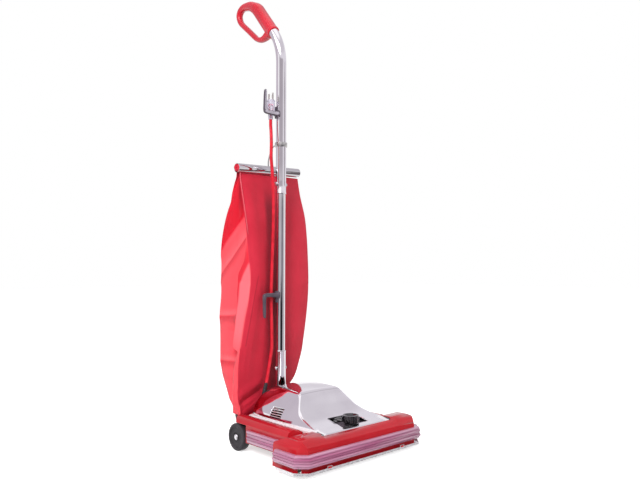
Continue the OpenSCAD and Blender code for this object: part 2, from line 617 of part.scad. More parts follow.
// ---------- belt, fan and motor ----------
belt_r = brush_d / 2 - 4.5 + belt_d / 2 + gap;
belt_turn = pulley_d / 2 - 1.5 + belt_d / 2 + gap;
module drive_belt() placed() color("black") {
    // open round belt with a quarter twist: over the roll at the front, round the upright pulley behind
    roll = [for (a = [90 : 20 : 270]) [0, brush_back + belt_r * cos(a), brush_h + belt_r * sin(a)]];
    pulley = [for (a = [-180 : 36 : 0]) [belt_turn * cos(a), motor_back - belt_turn * sin(a), pulley_z]];
    path = concat(roll, [[-belt_turn * 0.5, (brush_back + motor_back) / 2,
        (brush_h - belt_r + pulley_z) / 2]],
        pulley, [[belt_turn * 0.5, (brush_back + motor_back) / 2, (brush_h + belt_r + pulley_z) / 2]]);
    sweep(path, same(len(path), belt_d), same(len(path), belt_d), [1, 0, 1.2], 8, true);
}
module motor_pulley() placed() color("silver") translate([0, motor_back, pulley_z]) difference() {
    rotate_extrude() polygon([[shaft_d / 2 + fit, -7], [pulley_d / 2 + 2, -7], [pulley_d / 2 + 2, -5],
        [pulley_d / 2 - 1.5, -2.5], [pulley_d / 2 - 1.5, 2.5], [pulley_d / 2 + 2, 5],
            [pulley_d / 2 + 2, 7],
        [shaft_d / 2 + fit, 7]]);
}
module fan() placed() color("lightgray") translate([0, motor_back, 0]) {
    difference() {
        union() {
            translate([0, 0, fan_top - 7]) cylinder(d = fan_d, h = 2.5);
            translate([0, 0, fan_floor + 6]) cylinder(d1 = 18, d2 = 30, h = fan_top - fan_floor - 10);
        }
        cylinder(d = shaft_d + 2 * fit, h = 100);
    }
    // blades swept back from the hub to the rim
    intersection() {
        for (i = [0 : fan_blades - 1]) rotate(i * 360 / fan_blades) translate([0, 0, fan_floor + 5])
            linear_extrude(fan_top - fan_floor - 11) difference() {
                translate([34, 14]) circle(r = 31);
                translate([36, 14]) circle(r = 30);
                translate([-60, -60]) square([69, 120]);
                translate([0, -60]) square([80, 74]);
            }
        rotate_extrude() polygon([[8, 0], [26, 40 - 2], [fan_d / 2, 44], [fan_d / 2, 80], [8, 80]]);
    }
}
module fan_cover() placed() color("gray") difference() {
    translate([0, motor_back, fan_floor - 3]) cylinder(r = fan_room_r + 5.8, h = 2.8);
    translate([0, motor_back, 0]) cylinder(d = 56, h = 60);
}
module rotor_shaft() placed() color("silver") translate([0, motor_back, shaft_low])
    cylinder(d = shaft_d, h = shaft_top - shaft_low);
module armature() placed() color("sienna") translate([0, motor_back, field_z]) difference() {
    union() {
        cylinder(d = rotor_d, h = stack_h);
        translate([0, 0, -4]) cylinder(d = rotor_d - 12, h = stack_h + 8);
    }
    cylinder(d = shaft_d + 2 * fit, h = 300, center = true);
    // winding slots
    for (a = [0 : 30 : 330]) rotate(a) translate([rotor_d / 2, 0, -1])
        cylinder(d = 4, h = stack_h + 2, $fn = 16);
}
commutator_z = field_z + stack_h + 6;
module commutator() placed() color("peru") translate([0, motor_back, commutator_z]) difference() {
    cylinder(d = 22, h = 9);
    cylinder(d = shaft_d + 2 * fit, h = 300, center = true);
    for (a = [0 : 15 : 345]) rotate(a) translate([11, 0, 4.5]) cube([2, 0.6, 12], center = true);
}
module field_core() placed() color("gray") translate([0, motor_back, field_z]) difference() {
    cylinder(d = field_d, h = stack_h);
    translate([0, 0, -1]) cylinder(d = rotor_d + 1.6, h = stack_h + 2);
    // coil windows left and right of the two poles
    both() translate([rotor_d / 2 - 1, -15, -1]) cube([10, 30, stack_h + 2]);
}
module field_coils() placed() color("darkorange") translate([0, motor_back, field_z]) both() {
    translate([rotor_d / 2 + 1.3, -14, -4]) cube([7, 28, stack_h + 8]);
}
module motor_case() placed() color("dimgray") translate([0, motor_back, 0]) difference() {
    union() {
        translate([0, 0, deck_h]) cylinder(d = field_d + 8, h = field_z + stack_h - deck_h);
        translate([0, 0, deck_h]) cylinder(d = field_d + 24, h = 3);
    }
    translate([0, 0, deck_h + 3]) cylinder(d = field_d - 6, h = 200);
    translate([0, 0, field_z]) cylinder(d = field_d + 2 * seat, h = 200);
    cylinder(d = 24, h = 300);
    for (a = [45 : 90 : 315]) rotate(a) translate([field_d / 2 + 8, 0, 0]) cylinder(d = 4, h = 200);
}
module end_bell() placed() color("dimgray") translate([0, motor_back, field_z + stack_h]) difference() {
    height = shaft_top - field_z - stack_h - 1;
    union() {
        cylinder(d = field_d + 8, h = 7);
        cylinder(d = 56, h = height);
    }
    translate([0, 0, -1]) cylinder(d = 70, h = 5.6);
    translate([0, 0, -1]) cylinder(d = 48, h = height - 9);
    cylinder(d = bearing_d + 2 * seat, h = 60);
    // brush holder windows
    translate([-45, -7.5, 5]) cube([90, 15, height - 14]);
}
module bearings() placed() color("silver") translate([0, motor_back, 0])
    for (z = [fan_top + 3, shaft_top - 9]) translate([0, 0, z]) difference() {
        cylinder(d = bearing_d, h = 7);
        translate([0, 0, -1]) cylinder(d = shaft_d + 2 * fit, h = 20);
    }
module brush_holders() placed() color("goldenrod") translate([0, motor_back, commutator_z + 4.5])
    both() difference() {
    translate([13, -6, -5]) cube([22, 12, 9]);
    translate([10, -3.5, -3.5]) cube([40, 7, 6]);
}
module carbon_brushes() placed() color("black") translate([0, motor_back, commutator_z + 4.5]) both()
    translate([11.2, -3.3, -3.4]) cube([16, 6.6, 5.8]);

// ---------- exhaust ----------
elbow_r = 24;
elbow_top = 86;
elbow_path = concat([outlet_to], [for (a = [0 : 15 : 90])
        outlet_to + [0, 28.5 + elbow_r * sin(a), elbow_r * (1 - cos(a))]],
    [[outlet_to.x, outlet_to.y + 28.5 + elbow_r, elbow_top]]);
module exhaust_elbow() placed() color("dimgray") difference() {
    n = len(elbow_path);
    sweep(elbow_path, same(n, pipe_d), same(n, pipe_d), [1, 0, 0], 24);
    sweep([for (i = [0 : n - 1]) elbow_path[i] + (i == 0 ? [0, -4, 0] : i == n - 1 ? [0, 0, 4] : [0, 0,
        0])],
        same(n, outlet_d), same(n, outlet_d), [1, 0, 0], 24);
}

// ---------- handle ----------
module handle_yoke() placed() color("silver") difference() {
    union() {
        wheel_at(0, handle_back, pivot_h, 28, 2 * ear_x - 2 * gap);
        translate([0, handle_back, pivot_h]) cylinder(d = socket_od + 7, h = 40);
    }
    wheel_at(0, handle_back, pivot_h, pin_d + 2 * fit, 200);
    translate([0, handle_back, pivot_h + 16]) cylinder(d = socket_od + 2 * seat, h = 60);
}
module pivot_pin() placed() color("silver") {
    wheel_at(0, handle_back, pivot_h, pin_d, 2 * (ear_x + ear_t) + 4);
    for (side = [-1, 1]) wheel_at(side * (ear_x + ear_t + 2.5), handle_back, pivot_h, pin_d + 5, 3);
}
module socket_tube() placed() color("silver") translate([0, handle_back, pivot_h + 16]) difference() {
    cylinder(d = socket_od, h = lower_joint - pivot_h - 16);
    translate([0, 0, -1]) cylinder(d = middle_od + 2 * seat, h = 400);
    bolt_holes(bolt_low - pivot_h - 16);
}
module middle_tube() placed() color("silver") translate([0, handle_back, 150]) difference() {
    cylinder(d = middle_od, h = upper_joint + 50 - 150);
    translate([0, 0, -1]) cylinder(d = middle_od - 3.2, h = 800);
    bolt_holes(bolt_low - 150);
    bolt_holes(bolt_high - 150);
}
bolt_low = lower_joint - 48;
bolt_high = upper_joint + 27;
module bolt_holes(z) { translate([0, 0, z]) rotate([0, 90, 0]) cylinder(d = 6 + 2 * seat, h = 60,
    center = true); }
// Upper tube: straight up to the bend, round it, and on into the grip
tube_end = [0, bend_r * (1 - cos(grip_angle)), bend_start + bend_r * sin(grip_angle)];
function tube_path(extra) = concat([[0, 0, upper_joint - extra]],
    [for (i = [0 : 6]) let (a = grip_angle * i / 6) [0, bend_r * (1 - cos(a)),
        bend_start + bend_r * sin(a)]],
    [tube_end + (50 + extra) * [0, sin(grip_angle), cos(grip_angle)]]);
module upper_tube() placed() color("silver") translate([0, handle_back, 0]) difference() {
    sweep(tube_path(0), same(9, upper_od), same(9, upper_od), [1, 0, 0], 32);
    sweep(tube_path(1), same(9, middle_od + 3 * seat), same(9, middle_od + 3 * seat), [1, 0, 0], 32);
    translate([0, 0, bolt_high]) rotate([0, 90, 0]) cylinder(d = 6.6, h = 60, center = true, $fn = 12);
}
module tube_bolts() placed() color("silver") for (z = [bolt_low, bolt_high])
    translate([0, handle_back, z]) {
    rotate([0, 90, 0]) cylinder(d = 6, h = 40, center = true);
    for (side = [-1, 1]) translate([side * 17, 0, 0]) rotate([0, 90, 0])
        cylinder(d = 11, h = 4, center = true);
}
// Grip: straight hand bar with a closed guard loop behind it. Local frame: u along the bar, v to the rear.
grip_mouth = [0, handle_back + bend_r * (1 - cos(grip_angle)) + 6 * sin(grip_angle),
    bend_start + bend_r * sin(grip_angle) + 6 * cos(grip_angle)];
function grip_at(u, v) = grip_mouth + [0, u * sin(grip_angle) + v * cos(grip_angle), u * cos(grip_angle)
    - v * sin(grip_angle)];
grip_route = [[104, 4], [grip_len - 52, 7], [grip_len - 36, 13], [grip_len - 21, 24], [grip_len - 11, 38],
    [grip_len - 6, 54], [grip_len - 11, 69], [grip_len - 24, grip_gap + 5], [grip_len - 38, grip_gap + 4],
    [100, grip_gap - 3], [60, grip_gap - 10], [40, grip_gap - 15], [24, grip_gap - 25], [13, 34],
        [9, 20], [10, 8]];
grip_wide = [33, 33, 31, 27, 23, 21, 19, 17, 16, 15, 15, 16, 18, 21, 24, 24];
grip_thick = [33, 32, 29, 24, 19, 17, 15, 14, 13, 12, 12, 13, 15, 17, 20, 20];
// The working frame's front plane, set so that the whole machine is centred on y = 0
grip_rear = max([for (i = [0 : len(grip_route) - 1])
    grip_at(grip_route[i][0], grip_route[i][1])[1] + grip_thick[i] / 2]);
front_y = -(grip_rear - guard_out) / 2;
module grip() placed() color("red") difference() {
    union() {
        sweep([for (q = grip_route) grip_at(q[0], q[1])], grip_wide, grip_thick, [1, 0, 0], 20);
        translate(grip_mouth) rotate([-grip_angle, 0, 0]) cylinder(d = grip_bar_d + 2, h = 10);
        translate(grip_mouth) rotate([-grip_angle, 0, 0]) translate([0, 0, 8])
            cylinder(d = grip_bar_d, h = 106);
    }
    translate(grip_mouth) rotate([-grip_angle, 0, 0]) translate([0, 0, -3])
        cylinder(d = upper_od + 2 * seat, h = 48.5);
}

// ---------- cord hooks ----------
// Saddle on the left side of the tube, arm to the left and a tip: up on the upper hook, down on the lower one
saddle_h = 32;
saddle_t = 4;
module hook(tube, tip_dir) difference() {
    union() {
        intersection() {
            translate([0, 0, tip_dir * (saddle_h / 2 - 5)]) cylinder(d = tube + 2 * saddle_t,
                h = saddle_h, center = true);
            translate([-tube / 2 - 4, 0, 0]) cube([tube / 2 + 2, tube - 4, 3 * saddle_h], center = true);
        }
        hull() { translate([-tube / 2 - 3, -3, 0]) cube([3, 10, 10], center = true);
            translate([-hook_reach + 5, -5, 0]) cube([10, 9, 9], center = true); }
        hull() { translate([-hook_reach + 5, -5, 0]) cube([10, 9, 9], center = true);
            translate([-hook_reach + 4, -5, tip_dir * hook_tip]) cube([7, 8, 4], center = true); }
    }
    cylinder(d = tube + 2 * fit, h = 3 * saddle_h, center = true);
    // screw hole through the saddle
    translate([-tube, 0, tip_dir * (saddle_h - 13)]) rotate([0, 90, 0]) cylinder(d = 5, h = tube);
}
module upper_hook() placed() color("dimgray") translate([0, handle_back, hook_high]) hook(upper_od, 1);
module lower_hook() placed() color("dimgray") translate([0, handle_back, hook_low]) hook(middle_od, -1);

// ---------- bag ----------
bar_d = 26;
bar_tilt = 2;     // the bar hangs a little lower on the left
module bag_bar() placed() color("silver") translate([0, bar_back, bar_h]) rotate([0, 90 - bar_tilt, 0])
    difference() {
    cylinder(d = bar_d, h = bar_len, center = true);
    cylinder(d = bar_d - 3, h = bar_len + 2, center = true);
    // the open side that slides over the rolled top of the bag
    translate([bar_d / 2, 2, 0]) cube([14, 10, bar_len + 2], center = true);
}
clip_z = bar_h + 65;
module bag_hanger() placed() color("silver") {
    // bent wire from a clip on the tube down to the bar
    sweep([[0, handle_back + upper_od / 2 + 3.3, clip_z], [0, handle_back + 24, clip_z + 3],
        [0, handle_back + 40, clip_z - 4],
        [0, bar_back - 6, bar_h + 43], [0, bar_back, bar_h + 25], [0, bar_back, bar_h + bar_d / 2 + 0.2]],
        same(6, 4), same(6, 4), [1, 0, 0], 10);
    translate([0, handle_back, clip_z]) difference() {
        cylinder(d = upper_od + 6, h = 12, center = true);
        cylinder(d = upper_od + 2 * fit, h = 20, center = true);
    }
}
// Outline of the bag at a height: left and right edges of the front panel, its front and its rear, and
// how far the gusset stands out at its rear left edge
bag_top = bar_h - bar_d / 2 + 4;     // the top reaches through the bar's slot
function bag_left(z) = lookup(z, [[68, -119], [90, -119], [112, -124], [160, -121], [211, -117],
    [315, -100], [380, -88], [438, -84], [521, -86], [620, -95], [711, -99], [726, -99]]);
function bag_right(z) = lookup(z, [[68, -65], [90, -63], [112, -10], [134, 55], [200, 93], [259, 110],
    [365, 130], [482, 133], [599, 127], [711, 106], [726, 104]]);
function bag_front(z) = lookup(z, [[68, 336], [90, 337], [134, 342], [200, 342], [438, 340], [600, 352],
    [711, 372.5], [726, 372.5]]);
function bag_back(z) = lookup(z, [[68, 393], [90, 394], [112, 412], [183, 445], [318, 462],
    [437, bag_rear], [566, 450], [698, 386], [711, 381.5], [726, 381.5]]);
function bag_gusset(z) = lookup(z, [[68, 0], [134, 0], [200, 3], [284, 12], [355, 21], [500, 26],
    [582, 19], [658, 11], [711, 0], [726, 0]]);
function bag_ring(z) = let (l = bag_left(z), r = bag_right(z), f = bag_front(z), b = bag_back(z),
    g = bag_gusset(z), c = min(14, (b - f) / 4, (r - l) / 5))
    [[l + c, f, z], [l, f + c, z], [l - 4 - g * 0.4, (f + b) / 2, z],
     [l + c * 0.6 - g * 0.5, b - c + g * 0.9, z], [l + 2 * c - g * 0.3, b + g * 0.7, z],
     [r - 2 * c, b, z], [r - c * 0.6, b - c, z], [r + 3, (f + b) / 2, z], [r, f + c, z], [r - c, f, z]];
bag_split = 150;
neck_low = 72.5;
bag_stations = [92, 112, 134, 200, 259, 318, 380, 438, 500, 566, 620, 670, 711];
module bag_part(low, high) {
    loft([for (z = concat([low], [for (s = bag_stations) if (s > low + 3 && s < high - 3) s], [high]))
        bag_ring(z)]);
}
module bag() placed() color("firebrick") bag_part(bag_split, bag_top);
module bag_neck() placed() color("firebrick") difference() {
    bag_part(neck_low, bag_split - gap);
    // the cuff fits round the exhaust pipe
    translate([outlet_to.x, outlet_to.y + 28.5 + elbow_r, neck_low - 1])
        cylinder(d = (pipe_d + 2 * gap) / cos(15),
        h = elbow_top + gap - neck_low + 1, $fn = 12);
}

// ---------- cord and plug ----------
relief_route = [[relief_x, hood_back - 6, relief_z], [relief_x, hood_back + 0.5, relief_z],
    [relief_x, hood_back + 6, relief_z + 1], [-57, 314, 110], [-56, 319, 118],
    [-52, 321, 130], [-49, 321, 141], [-46, 322, 149]];
cord_route = [[-46, 322, 149.5], [-43, 323, 157.5], [-38, 323, 180], [-32, 322, 215], [-27, 322, 250],
    [-26, 325, 320],
    [-27, 326, 380], [-26, 325, 440], [-25, 322, 520], [-26, 318, 600], [-28, 316, 670], [-34, 314, 720],
    [-38, 314, 760], [-36, 316, 800], [-31, 324, 835], [-30, 327, 852], [-30, 327, 867.8]];
module cord() placed() color("red") {
    path = smooth_path(cord_route, 2);
    sweep(path, same(len(path), cord_d), same(len(path), cord_d), [0, 1, 0], 8);
}
plug_base = [-30, 327, 868];
plug_ledge = hook_high + 5 + gap;      // the wide part rests on the hook's arm
module plug_body() placed() color("white", 0.5) translate(plug_base) {
    cylinder(d1 = 11, d2 = 14, h = plug_ledge - plug_base.z);
    translate([0, 0, plug_ledge - plug_base.z]) cylinder(d = 24, h = 34);
}
module plug_blades() placed() color("gold") translate([plug_base.x, plug_base.y, plug_ledge + 34]) {
    for (side = [-1, 1]) translate([side * 6.35, 0, 8]) cube([1.5, 6.3, 16], center = true);
    translate([0, -9, 0]) cylinder(d = 4.8, h = 19);
}
module strain_relief() placed() color("black") {
    d = [14, 14, 13.5, 13, 12.5, 12, 11, 10.4];
    sweep(relief_route, d, d, [1, 0, 0], 16);
}

// ---------- release pedal ----------
// Rocker behind the hood: its pin sits near the front, a coil spring pushes up the rear
pedal_len = 30;
module foot_pedal() placed() color("black") difference() {
    union() {
        translate([pedal_x - pedal_w / 2, pedal_y, pedal_z]) rotate([90, 0, 90])
            linear_extrude(pedal_w) polygon([
            [-4, -1], [-4, 4], [2, 6], [pedal_len - 6, 8], [pedal_len, 6], [pedal_len, 2], [4, -3],
                [0, -4]]);
        for (i = [0 : 4]) slab(pedal_x - pedal_w / 2, pedal_x + pedal_w / 2, pedal_y + 7 + i * 4,
            pedal_y + 8.6 + i * 4, pedal_z + 5, pedal_z + 8.6);
    }
    wheel_at(pedal_x, pedal_y, pedal_z, pedal_pin_d + 2 * fit, 60);
}
module pedal_pin() placed() color("silver") wheel_at(pedal_x, pedal_y, pedal_z, pedal_pin_d, pedal_w + 11);
module pedal_spring() placed() color("silver") translate([pedal_x, pedal_y + 12, pedal_z - 13])
    difference() {
    cylinder(d = 8, h = 10.4);
    translate([0, 0, -1]) cylinder(d = 6, h = 20);
}

base_housing();
hood();
dial_plate();
bottom_plate();
plate_latch_left();
plate_latch_right();
front_guard();
side_guard_left();
side_guard_right();
height_knob();
height_cam();
front_carriage();
carriage_pins();
front_wheel_left();
front_wheel_right();
rear_wheel_left();
rear_wheel_right();
rear_axles();
axle_caps();
brush_roll();
brush_strips();
brush_shaft();
brush_end_caps();
drive_belt();
motor_pulley();
fan();
fan_cover();
rotor_shaft();
armature();
commutator();
field_core();
field_coils();
motor_case();
end_bell();
bearings();
brush_holders();
carbon_brushes();
exhaust_elbow();
handle_yoke();
pivot_pin();
socket_tube();
middle_tube();
upper_tube();
tube_bolts();
grip();
upper_hook();
lower_hook();
bag_bar();
bag_hanger();
bag();
bag_neck();
cord();
plug_body();
plug_blades();
strain_relief();
foot_pedal();
pedal_pin();
pedal_spring();
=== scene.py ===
# Upright vacuum cleaner for commercial floors, dressed over its CAD model.
# Points are written in millimetres from the middle of the nozzle's front face, on the floor.
import math
import bmesh
import bpy
from mathutils import Matrix, Vector, noise


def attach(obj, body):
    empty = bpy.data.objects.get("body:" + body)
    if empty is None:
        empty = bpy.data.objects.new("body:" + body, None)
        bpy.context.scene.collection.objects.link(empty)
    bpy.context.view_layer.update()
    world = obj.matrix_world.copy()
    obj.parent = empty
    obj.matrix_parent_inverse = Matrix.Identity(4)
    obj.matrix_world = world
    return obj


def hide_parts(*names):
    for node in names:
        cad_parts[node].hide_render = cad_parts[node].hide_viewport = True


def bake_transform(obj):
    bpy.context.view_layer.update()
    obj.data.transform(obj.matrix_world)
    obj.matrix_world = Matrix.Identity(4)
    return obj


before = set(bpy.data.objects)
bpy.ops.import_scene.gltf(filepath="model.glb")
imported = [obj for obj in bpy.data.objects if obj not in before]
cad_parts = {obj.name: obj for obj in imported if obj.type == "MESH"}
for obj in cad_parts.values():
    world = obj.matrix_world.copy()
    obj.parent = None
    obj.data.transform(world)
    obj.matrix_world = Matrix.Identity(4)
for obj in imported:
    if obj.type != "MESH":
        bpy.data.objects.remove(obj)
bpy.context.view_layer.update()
shop = bpy.context.scene.collection

# ---- Camera ----
# It stands low in front of the machine's left side and looks a little upwards, with a short
# telephoto lens.
camera = bpy.data.objects.new("front_left_camera", bpy.data.cameras.new("front_left_camera"))
shop.objects.link(camera)
camera.location = (-1.09925, -1.28880, 0.45532)
camera.rotation_euler = (math.radians(92.6475), 0, math.radians(-42.6475))
camera.data.sensor_width = 36
camera.data.lens = 35.49
camera.data.clip_start = 0.05
bpy.context.scene.camera = camera
bpy.context.scene.view_settings.view_transform = "Standard"


# ---- Mains cord and its plug ----
# A short red three-core lead in soft vinyl, which climbs the handle tube from the motor's
# strain relief. Its moulded clear plug stands on the upper hook, ready for an extension cord.
mm = 0.001
nozzle_front = 253.89       # how far the nozzle's front face stands before the frame's origin


def place(x, y, z):
    """A point of the machine, in millimetres from the nozzle's front, as the frame's metres."""
    return Vector((x, y - nozzle_front, z)) * mm


def new_finish(name, colour, roughness, metallic=0.0, **uniform):
    finish = bpy.data.materials.new(name)
    finish.use_nodes = True
    shader = finish.node_tree.nodes["Principled BSDF"]
    shader.inputs["Base Color"].default_value = (*colour, 1)
    shader.inputs["Roughness"].default_value = roughness
    shader.inputs["Metallic"].default_value = metallic
    for socket, value in uniform.items():
        shader.inputs[socket.replace("_", " ")].default_value = value
    finish.diffuse_color = (*colour, 1)
    return finish


def mottling(finish, scale, detail=3.0, stretch=(1, 1, 1)):
    """Noise through the piece, in its own coordinates."""
    tree = finish.node_tree
    coords = tree.nodes.new("ShaderNodeTexCoord")
    turn = tree.nodes.new("ShaderNodeMapping")
    turn.inputs["Scale"].default_value = stretch
    cloud = tree.nodes.new("ShaderNodeTexNoise")
    cloud.inputs["Scale"].default_value = scale
    cloud.inputs["Detail"].default_value = detail
    tree.links.new(coords.outputs["Object"], turn.inputs["Vector"])
    tree.links.new(turn.outputs["Vector"], cloud.inputs["Vector"])
    return cloud.outputs["Fac"]


def tint(finish, mask, dark, light, low=0.35, high=0.65):
    """Two shades of the finish, mixed by a mask."""
    tree = finish.node_tree
    ramp = tree.nodes.new("ShaderNodeValToRGB")
    ramp.color_ramp.elements[0].position, ramp.color_ramp.elements[0].color = low, (*dark, 1)
    ramp.color_ramp.elements[1].position, ramp.color_ramp.elements[1].color = high, (*light, 1)
    tree.links.new(mask, ramp.inputs["Fac"])
    tree.links.new(ramp.outputs["Color"], tree.nodes["Principled BSDF"].inputs["Base Color"])
    return ramp


def dull(finish, mask, low, high):
    """Gloss that differs a little from place to place."""
    tree = finish.node_tree
    span = tree.nodes.new("ShaderNodeMapRange")
    span.inputs["To Min"].default_value, span.inputs["To Max"].default_value = low, high
    tree.links.new(mask, span.inputs["Value"])
    tree.links.new(span.outputs["Result"], tree.nodes["Principled BSDF"].inputs["Roughness"])


def relief(finish, mask, depth, strength=1.0):
    """Fine surface height, in metres, on top of what the finish already has."""
    tree = finish.node_tree
    shader = tree.nodes["Principled BSDF"]
    bump = tree.nodes.new("ShaderNodeBump")
    bump.inputs["Distance"].default_value = depth
    bump.inputs["Strength"].default_value = strength
    if shader.inputs["Normal"].is_linked:
        tree.links.new(shader.inputs["Normal"].links[0].from_socket, bump.inputs["Normal"])
    tree.links.new(mask, bump.inputs["Height"])
    tree.links.new(bump.outputs["Normal"], shader.inputs["Normal"])


def make_piece(name, bm, finish, body, bevel=0.0, smooth=38, clean=True):
    """Writes a bmesh to an object that rides on a body, smooth up to an angle, soft edges in mm."""
    if clean:
        bmesh.ops.remove_doubles(bm, verts=bm.verts, dist=1e-6)
        bmesh.ops.recalc_face_normals(bm, faces=bm.faces)
    mesh = bpy.data.meshes.new(name)
    bm.to_mesh(mesh)
    bm.free()
    mesh.polygons.foreach_set("use_smooth", [True] * len(mesh.polygons))
    mesh.set_sharp_from_angle(angle=math.radians(smooth))
    mesh.materials.append(finish)
    piece = bpy.data.objects.new(name, mesh)
    shop.objects.link(piece)
    if bevel:
        soften(piece, bevel)
    if body:
        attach(piece, body)
    return piece


def soften(piece, width, segments=2, angle=38):
    """Rounds the edges that are sharper than an angle, with a width in mm."""
    edge = piece.modifiers.new("soft_edges", "BEVEL")
    edge.width, edge.segments = width * mm, segments
    edge.limit_method, edge.angle_limit = "ANGLE", math.radians(angle)
    edge.harden_normals = True
    return edge


def turned(bm, profile, centre, steps, axis=(0, 0, 1), across=(1, 0, 0)):
    """Spins a profile of (radius, distance along the axis), in mm, about a centre in mm."""
    axis, across, centre = Vector(axis), Vector(across), place(*centre)
    points = [bm.verts.new(centre + (across * r + axis * a) * mm) for r, a in profile]
    lines = [bm.edges.new(pair) for pair in zip(points, points[1:])]
    bmesh.ops.spin(bm, geom=points + lines, cent=centre, axis=axis, angle=math.tau, steps=steps,
                   use_merge=True)
    bmesh.ops.remove_doubles(bm, verts=bm.verts, dist=1e-6)


def spline(a, b, c, d, t):
    """A point between b and c on the smooth curve through a, b, c and d."""
    return 0.5 * (2 * b + (c - a) * t + (2 * a - 5 * b + 4 * c - d) * t * t
                  + (3 * b - a - 3 * c + d) * t ** 3)


def swept(bm, stations, sides=16, square=2.0, closed=False, side_dir=(1, 0, 0)):
    """A skin through cross-sections, each (point in mm, width across side_dir, thickness)."""
    points = [Vector(s[0]) for s in stations]
    count = len(points)
    rings = []
    for i, (point, wide, thick) in enumerate(stations):
        ahead = points[(i + 1) % count] if closed or i + 1 < count else points[i]
        behind = points[i - 1] if closed or i > 0 else points[i]
        run = (ahead - behind).normalized()
        side = (Vector(side_dir) - run * run.dot(Vector(side_dir))).normalized()
        up = run.cross(side)
        if not rings:
            made = bmesh.ops.create_circle(bm, segments=sides, radius=1)["verts"]
            ring = sorted(made, key=lambda v: math.atan2(v.co.y, v.co.x))
        else:
            last = rings[-1]
            lines = [bm.edges.get((last[k], last[(k + 1) % sides])) for k in range(sides)]
            fresh = {g for g in bmesh.ops.extrude_edge_only(bm, edges=lines)["geom"]
                     if isinstance(g, bmesh.types.BMVert)}
            ring = [next(e.other_vert(v) for e in v.link_edges if e.other_vert(v) in fresh)
                    for v in last]
        for k, v in enumerate(ring):
            a = -math.pi + math.tau * (k + 0.5) / sides
            c, s = math.cos(a), math.sin(a)
            reach = (abs(c) ** square + abs(s) ** square) ** (-1 / square)
            v.co = place(*(Vector(point) + side * (wide / 2 * c * reach)
                           + up * (thick / 2 * s * reach)))
        rings.append(ring)
    if closed:
        ends = [bm.edges.get((r[k], r[(k + 1) % sides])) for r in (rings[0], rings[-1])
                for k in range(sides)]
        bmesh.ops.bridge_loops(bm, edges=ends)
    else:
        for ring in (rings[0], rings[-1]):
            bmesh.ops.contextual_create(bm, geom=ring)


def curved(points, steps):
    """A smooth run of points through given ones."""
    points = [Vector(p) for p in points]
    out = []
    for i in range(len(points) - 1):
        a, b = points[max(i - 1, 0)], points[i]
        c, d = points[i + 1], points[min(i + 2, len(points) - 1)]
        out += [spline(a, b, c, d, s / steps) for s in range(steps)]
    return out + [points[-1]]


def red_vinyl():
    finish = new_finish("red_cord_vinyl", (0.50, 0.005, 0.020), 0.38, Coat_Weight=0.25)
    cloud = mottling(finish, 60)
    tint(finish, cloud, (0.5, 0.004, 0.016), (0.68, 0.01, 0.03))
    dull(finish, cloud, 0.32, 0.46)
    relief(finish, mottling(finish, 900, 2), 0.00006)
    return finish


cord_thick = 9
cord_exit = (-46, 322, 149.5)
cord_run = [cord_exit, (-43, 323, 157.5), (-38, 323, 180), (-32, 322, 215), (-27, 322, 250),
            (-26, 325, 320), (-27, 326, 380), (-26, 325, 440), (-25, 322, 520), (-26, 318, 600),
            (-28, 316, 670), (-34, 314, 720), (-38, 314, 760), (-36, 316, 800), (-31, 324, 835),
            (-30, 327, 852), (-30, 327, 867.8)]
cord_line = curved(cord_run, 8)
bm = bmesh.new()
swept(bm, [(p, cord_thick, cord_thick) for p in cord_line], sides=16, side_dir=(0, 1, 0))
cord = make_piece("cord_lead", bm, red_vinyl(), None, smooth=60)
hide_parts("cord")


def clear_vinyl():
    finish = new_finish("clear_plug_vinyl", (0.74, 0.70, 0.82), 0.14,
                        Transmission_Weight=0.60, IOR=1.30)
    cloud = mottling(finish, 130)
    tint(finish, cloud, (0.66, 0.62, 0.74), (0.84, 0.80, 0.90))
    dull(finish, cloud, 0.08, 0.24)
    relief(finish, cloud, 0.0003)
    return finish


# body of the plug: a ribbed tail over the cord, then a thick round head
plug_foot = (-30, 327, 868)
rib_pitch = 3.4
tail = [(5.4, 0)]
for i in range(5):
    rib = 6.6 + 0.25 * i
    tail += [(rib, 1.2 + rib_pitch * i), (rib, 3.0 + rib_pitch * i),
             (5.6 + 0.3 * i, 3.4 + rib_pitch * i)]
head = [(7.2, 18.5), (8.8, 20.6), (11.2, 22.6), (11.9, 26), (11.9, 40), (11.4, 46), (11.9, 49),
        (11.9, 52.6), (10.8, 54.2), (0, 54.3)]
bm = bmesh.new()
turned(bm, [(0, 0)] + tail + head, plug_foot, steps=40)
plug = make_piece("plug_shell", bm, clear_vinyl(), "handle", bevel=0.5, smooth=50)
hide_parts("plug_body")

# what shows through it: the fanned red cores and the pink contact bridge
core_finish = new_finish("plug_core_pink", (0.62, 0.07, 0.12), 0.5)
tint(core_finish, mottling(core_finish, 160), (0.45, 0.02, 0.05), (0.75, 0.22, 0.28))
core_thick = 2.4
fanning = [(0.25, 2), (0.3, 16), (0.8, 25), (1, 34), (1, 40)]   # share of the spread, height
bm = bmesh.new()
for x, y in ((-4.5, -2), (4.5, -2), (0, 4.5)):
    swept(bm, [(Vector(plug_foot) + Vector((x * k, y * k, z)), core_thick, core_thick)
               for k, z in fanning], sides=10, side_dir=(0, 1, 0))
turned(bm, [(0, 38), (5.2, 38), (5.8, 39), (5.8, 42), (5.2, 43), (0, 43)], plug_foot, steps=24)
core = make_piece("plug_core", bm, core_finish, "handle", smooth=50)
brass = new_finish("plated_brass", (0.80, 0.78, 0.74), 0.22, 1.0)
cloud = mottling(brass, 200, 2, (1, 1, 6))
tint(brass, cloud, (0.70, 0.67, 0.62), (0.88, 0.86, 0.82))
dull(brass, cloud, 0.16, 0.36)


def dress(finish, *nodes):
    """Gives CAD nodes that stay as they are their finish."""
    for node in nodes:
        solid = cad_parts[node]
        solid.data.materials.clear()
        solid.data.materials.append(finish)


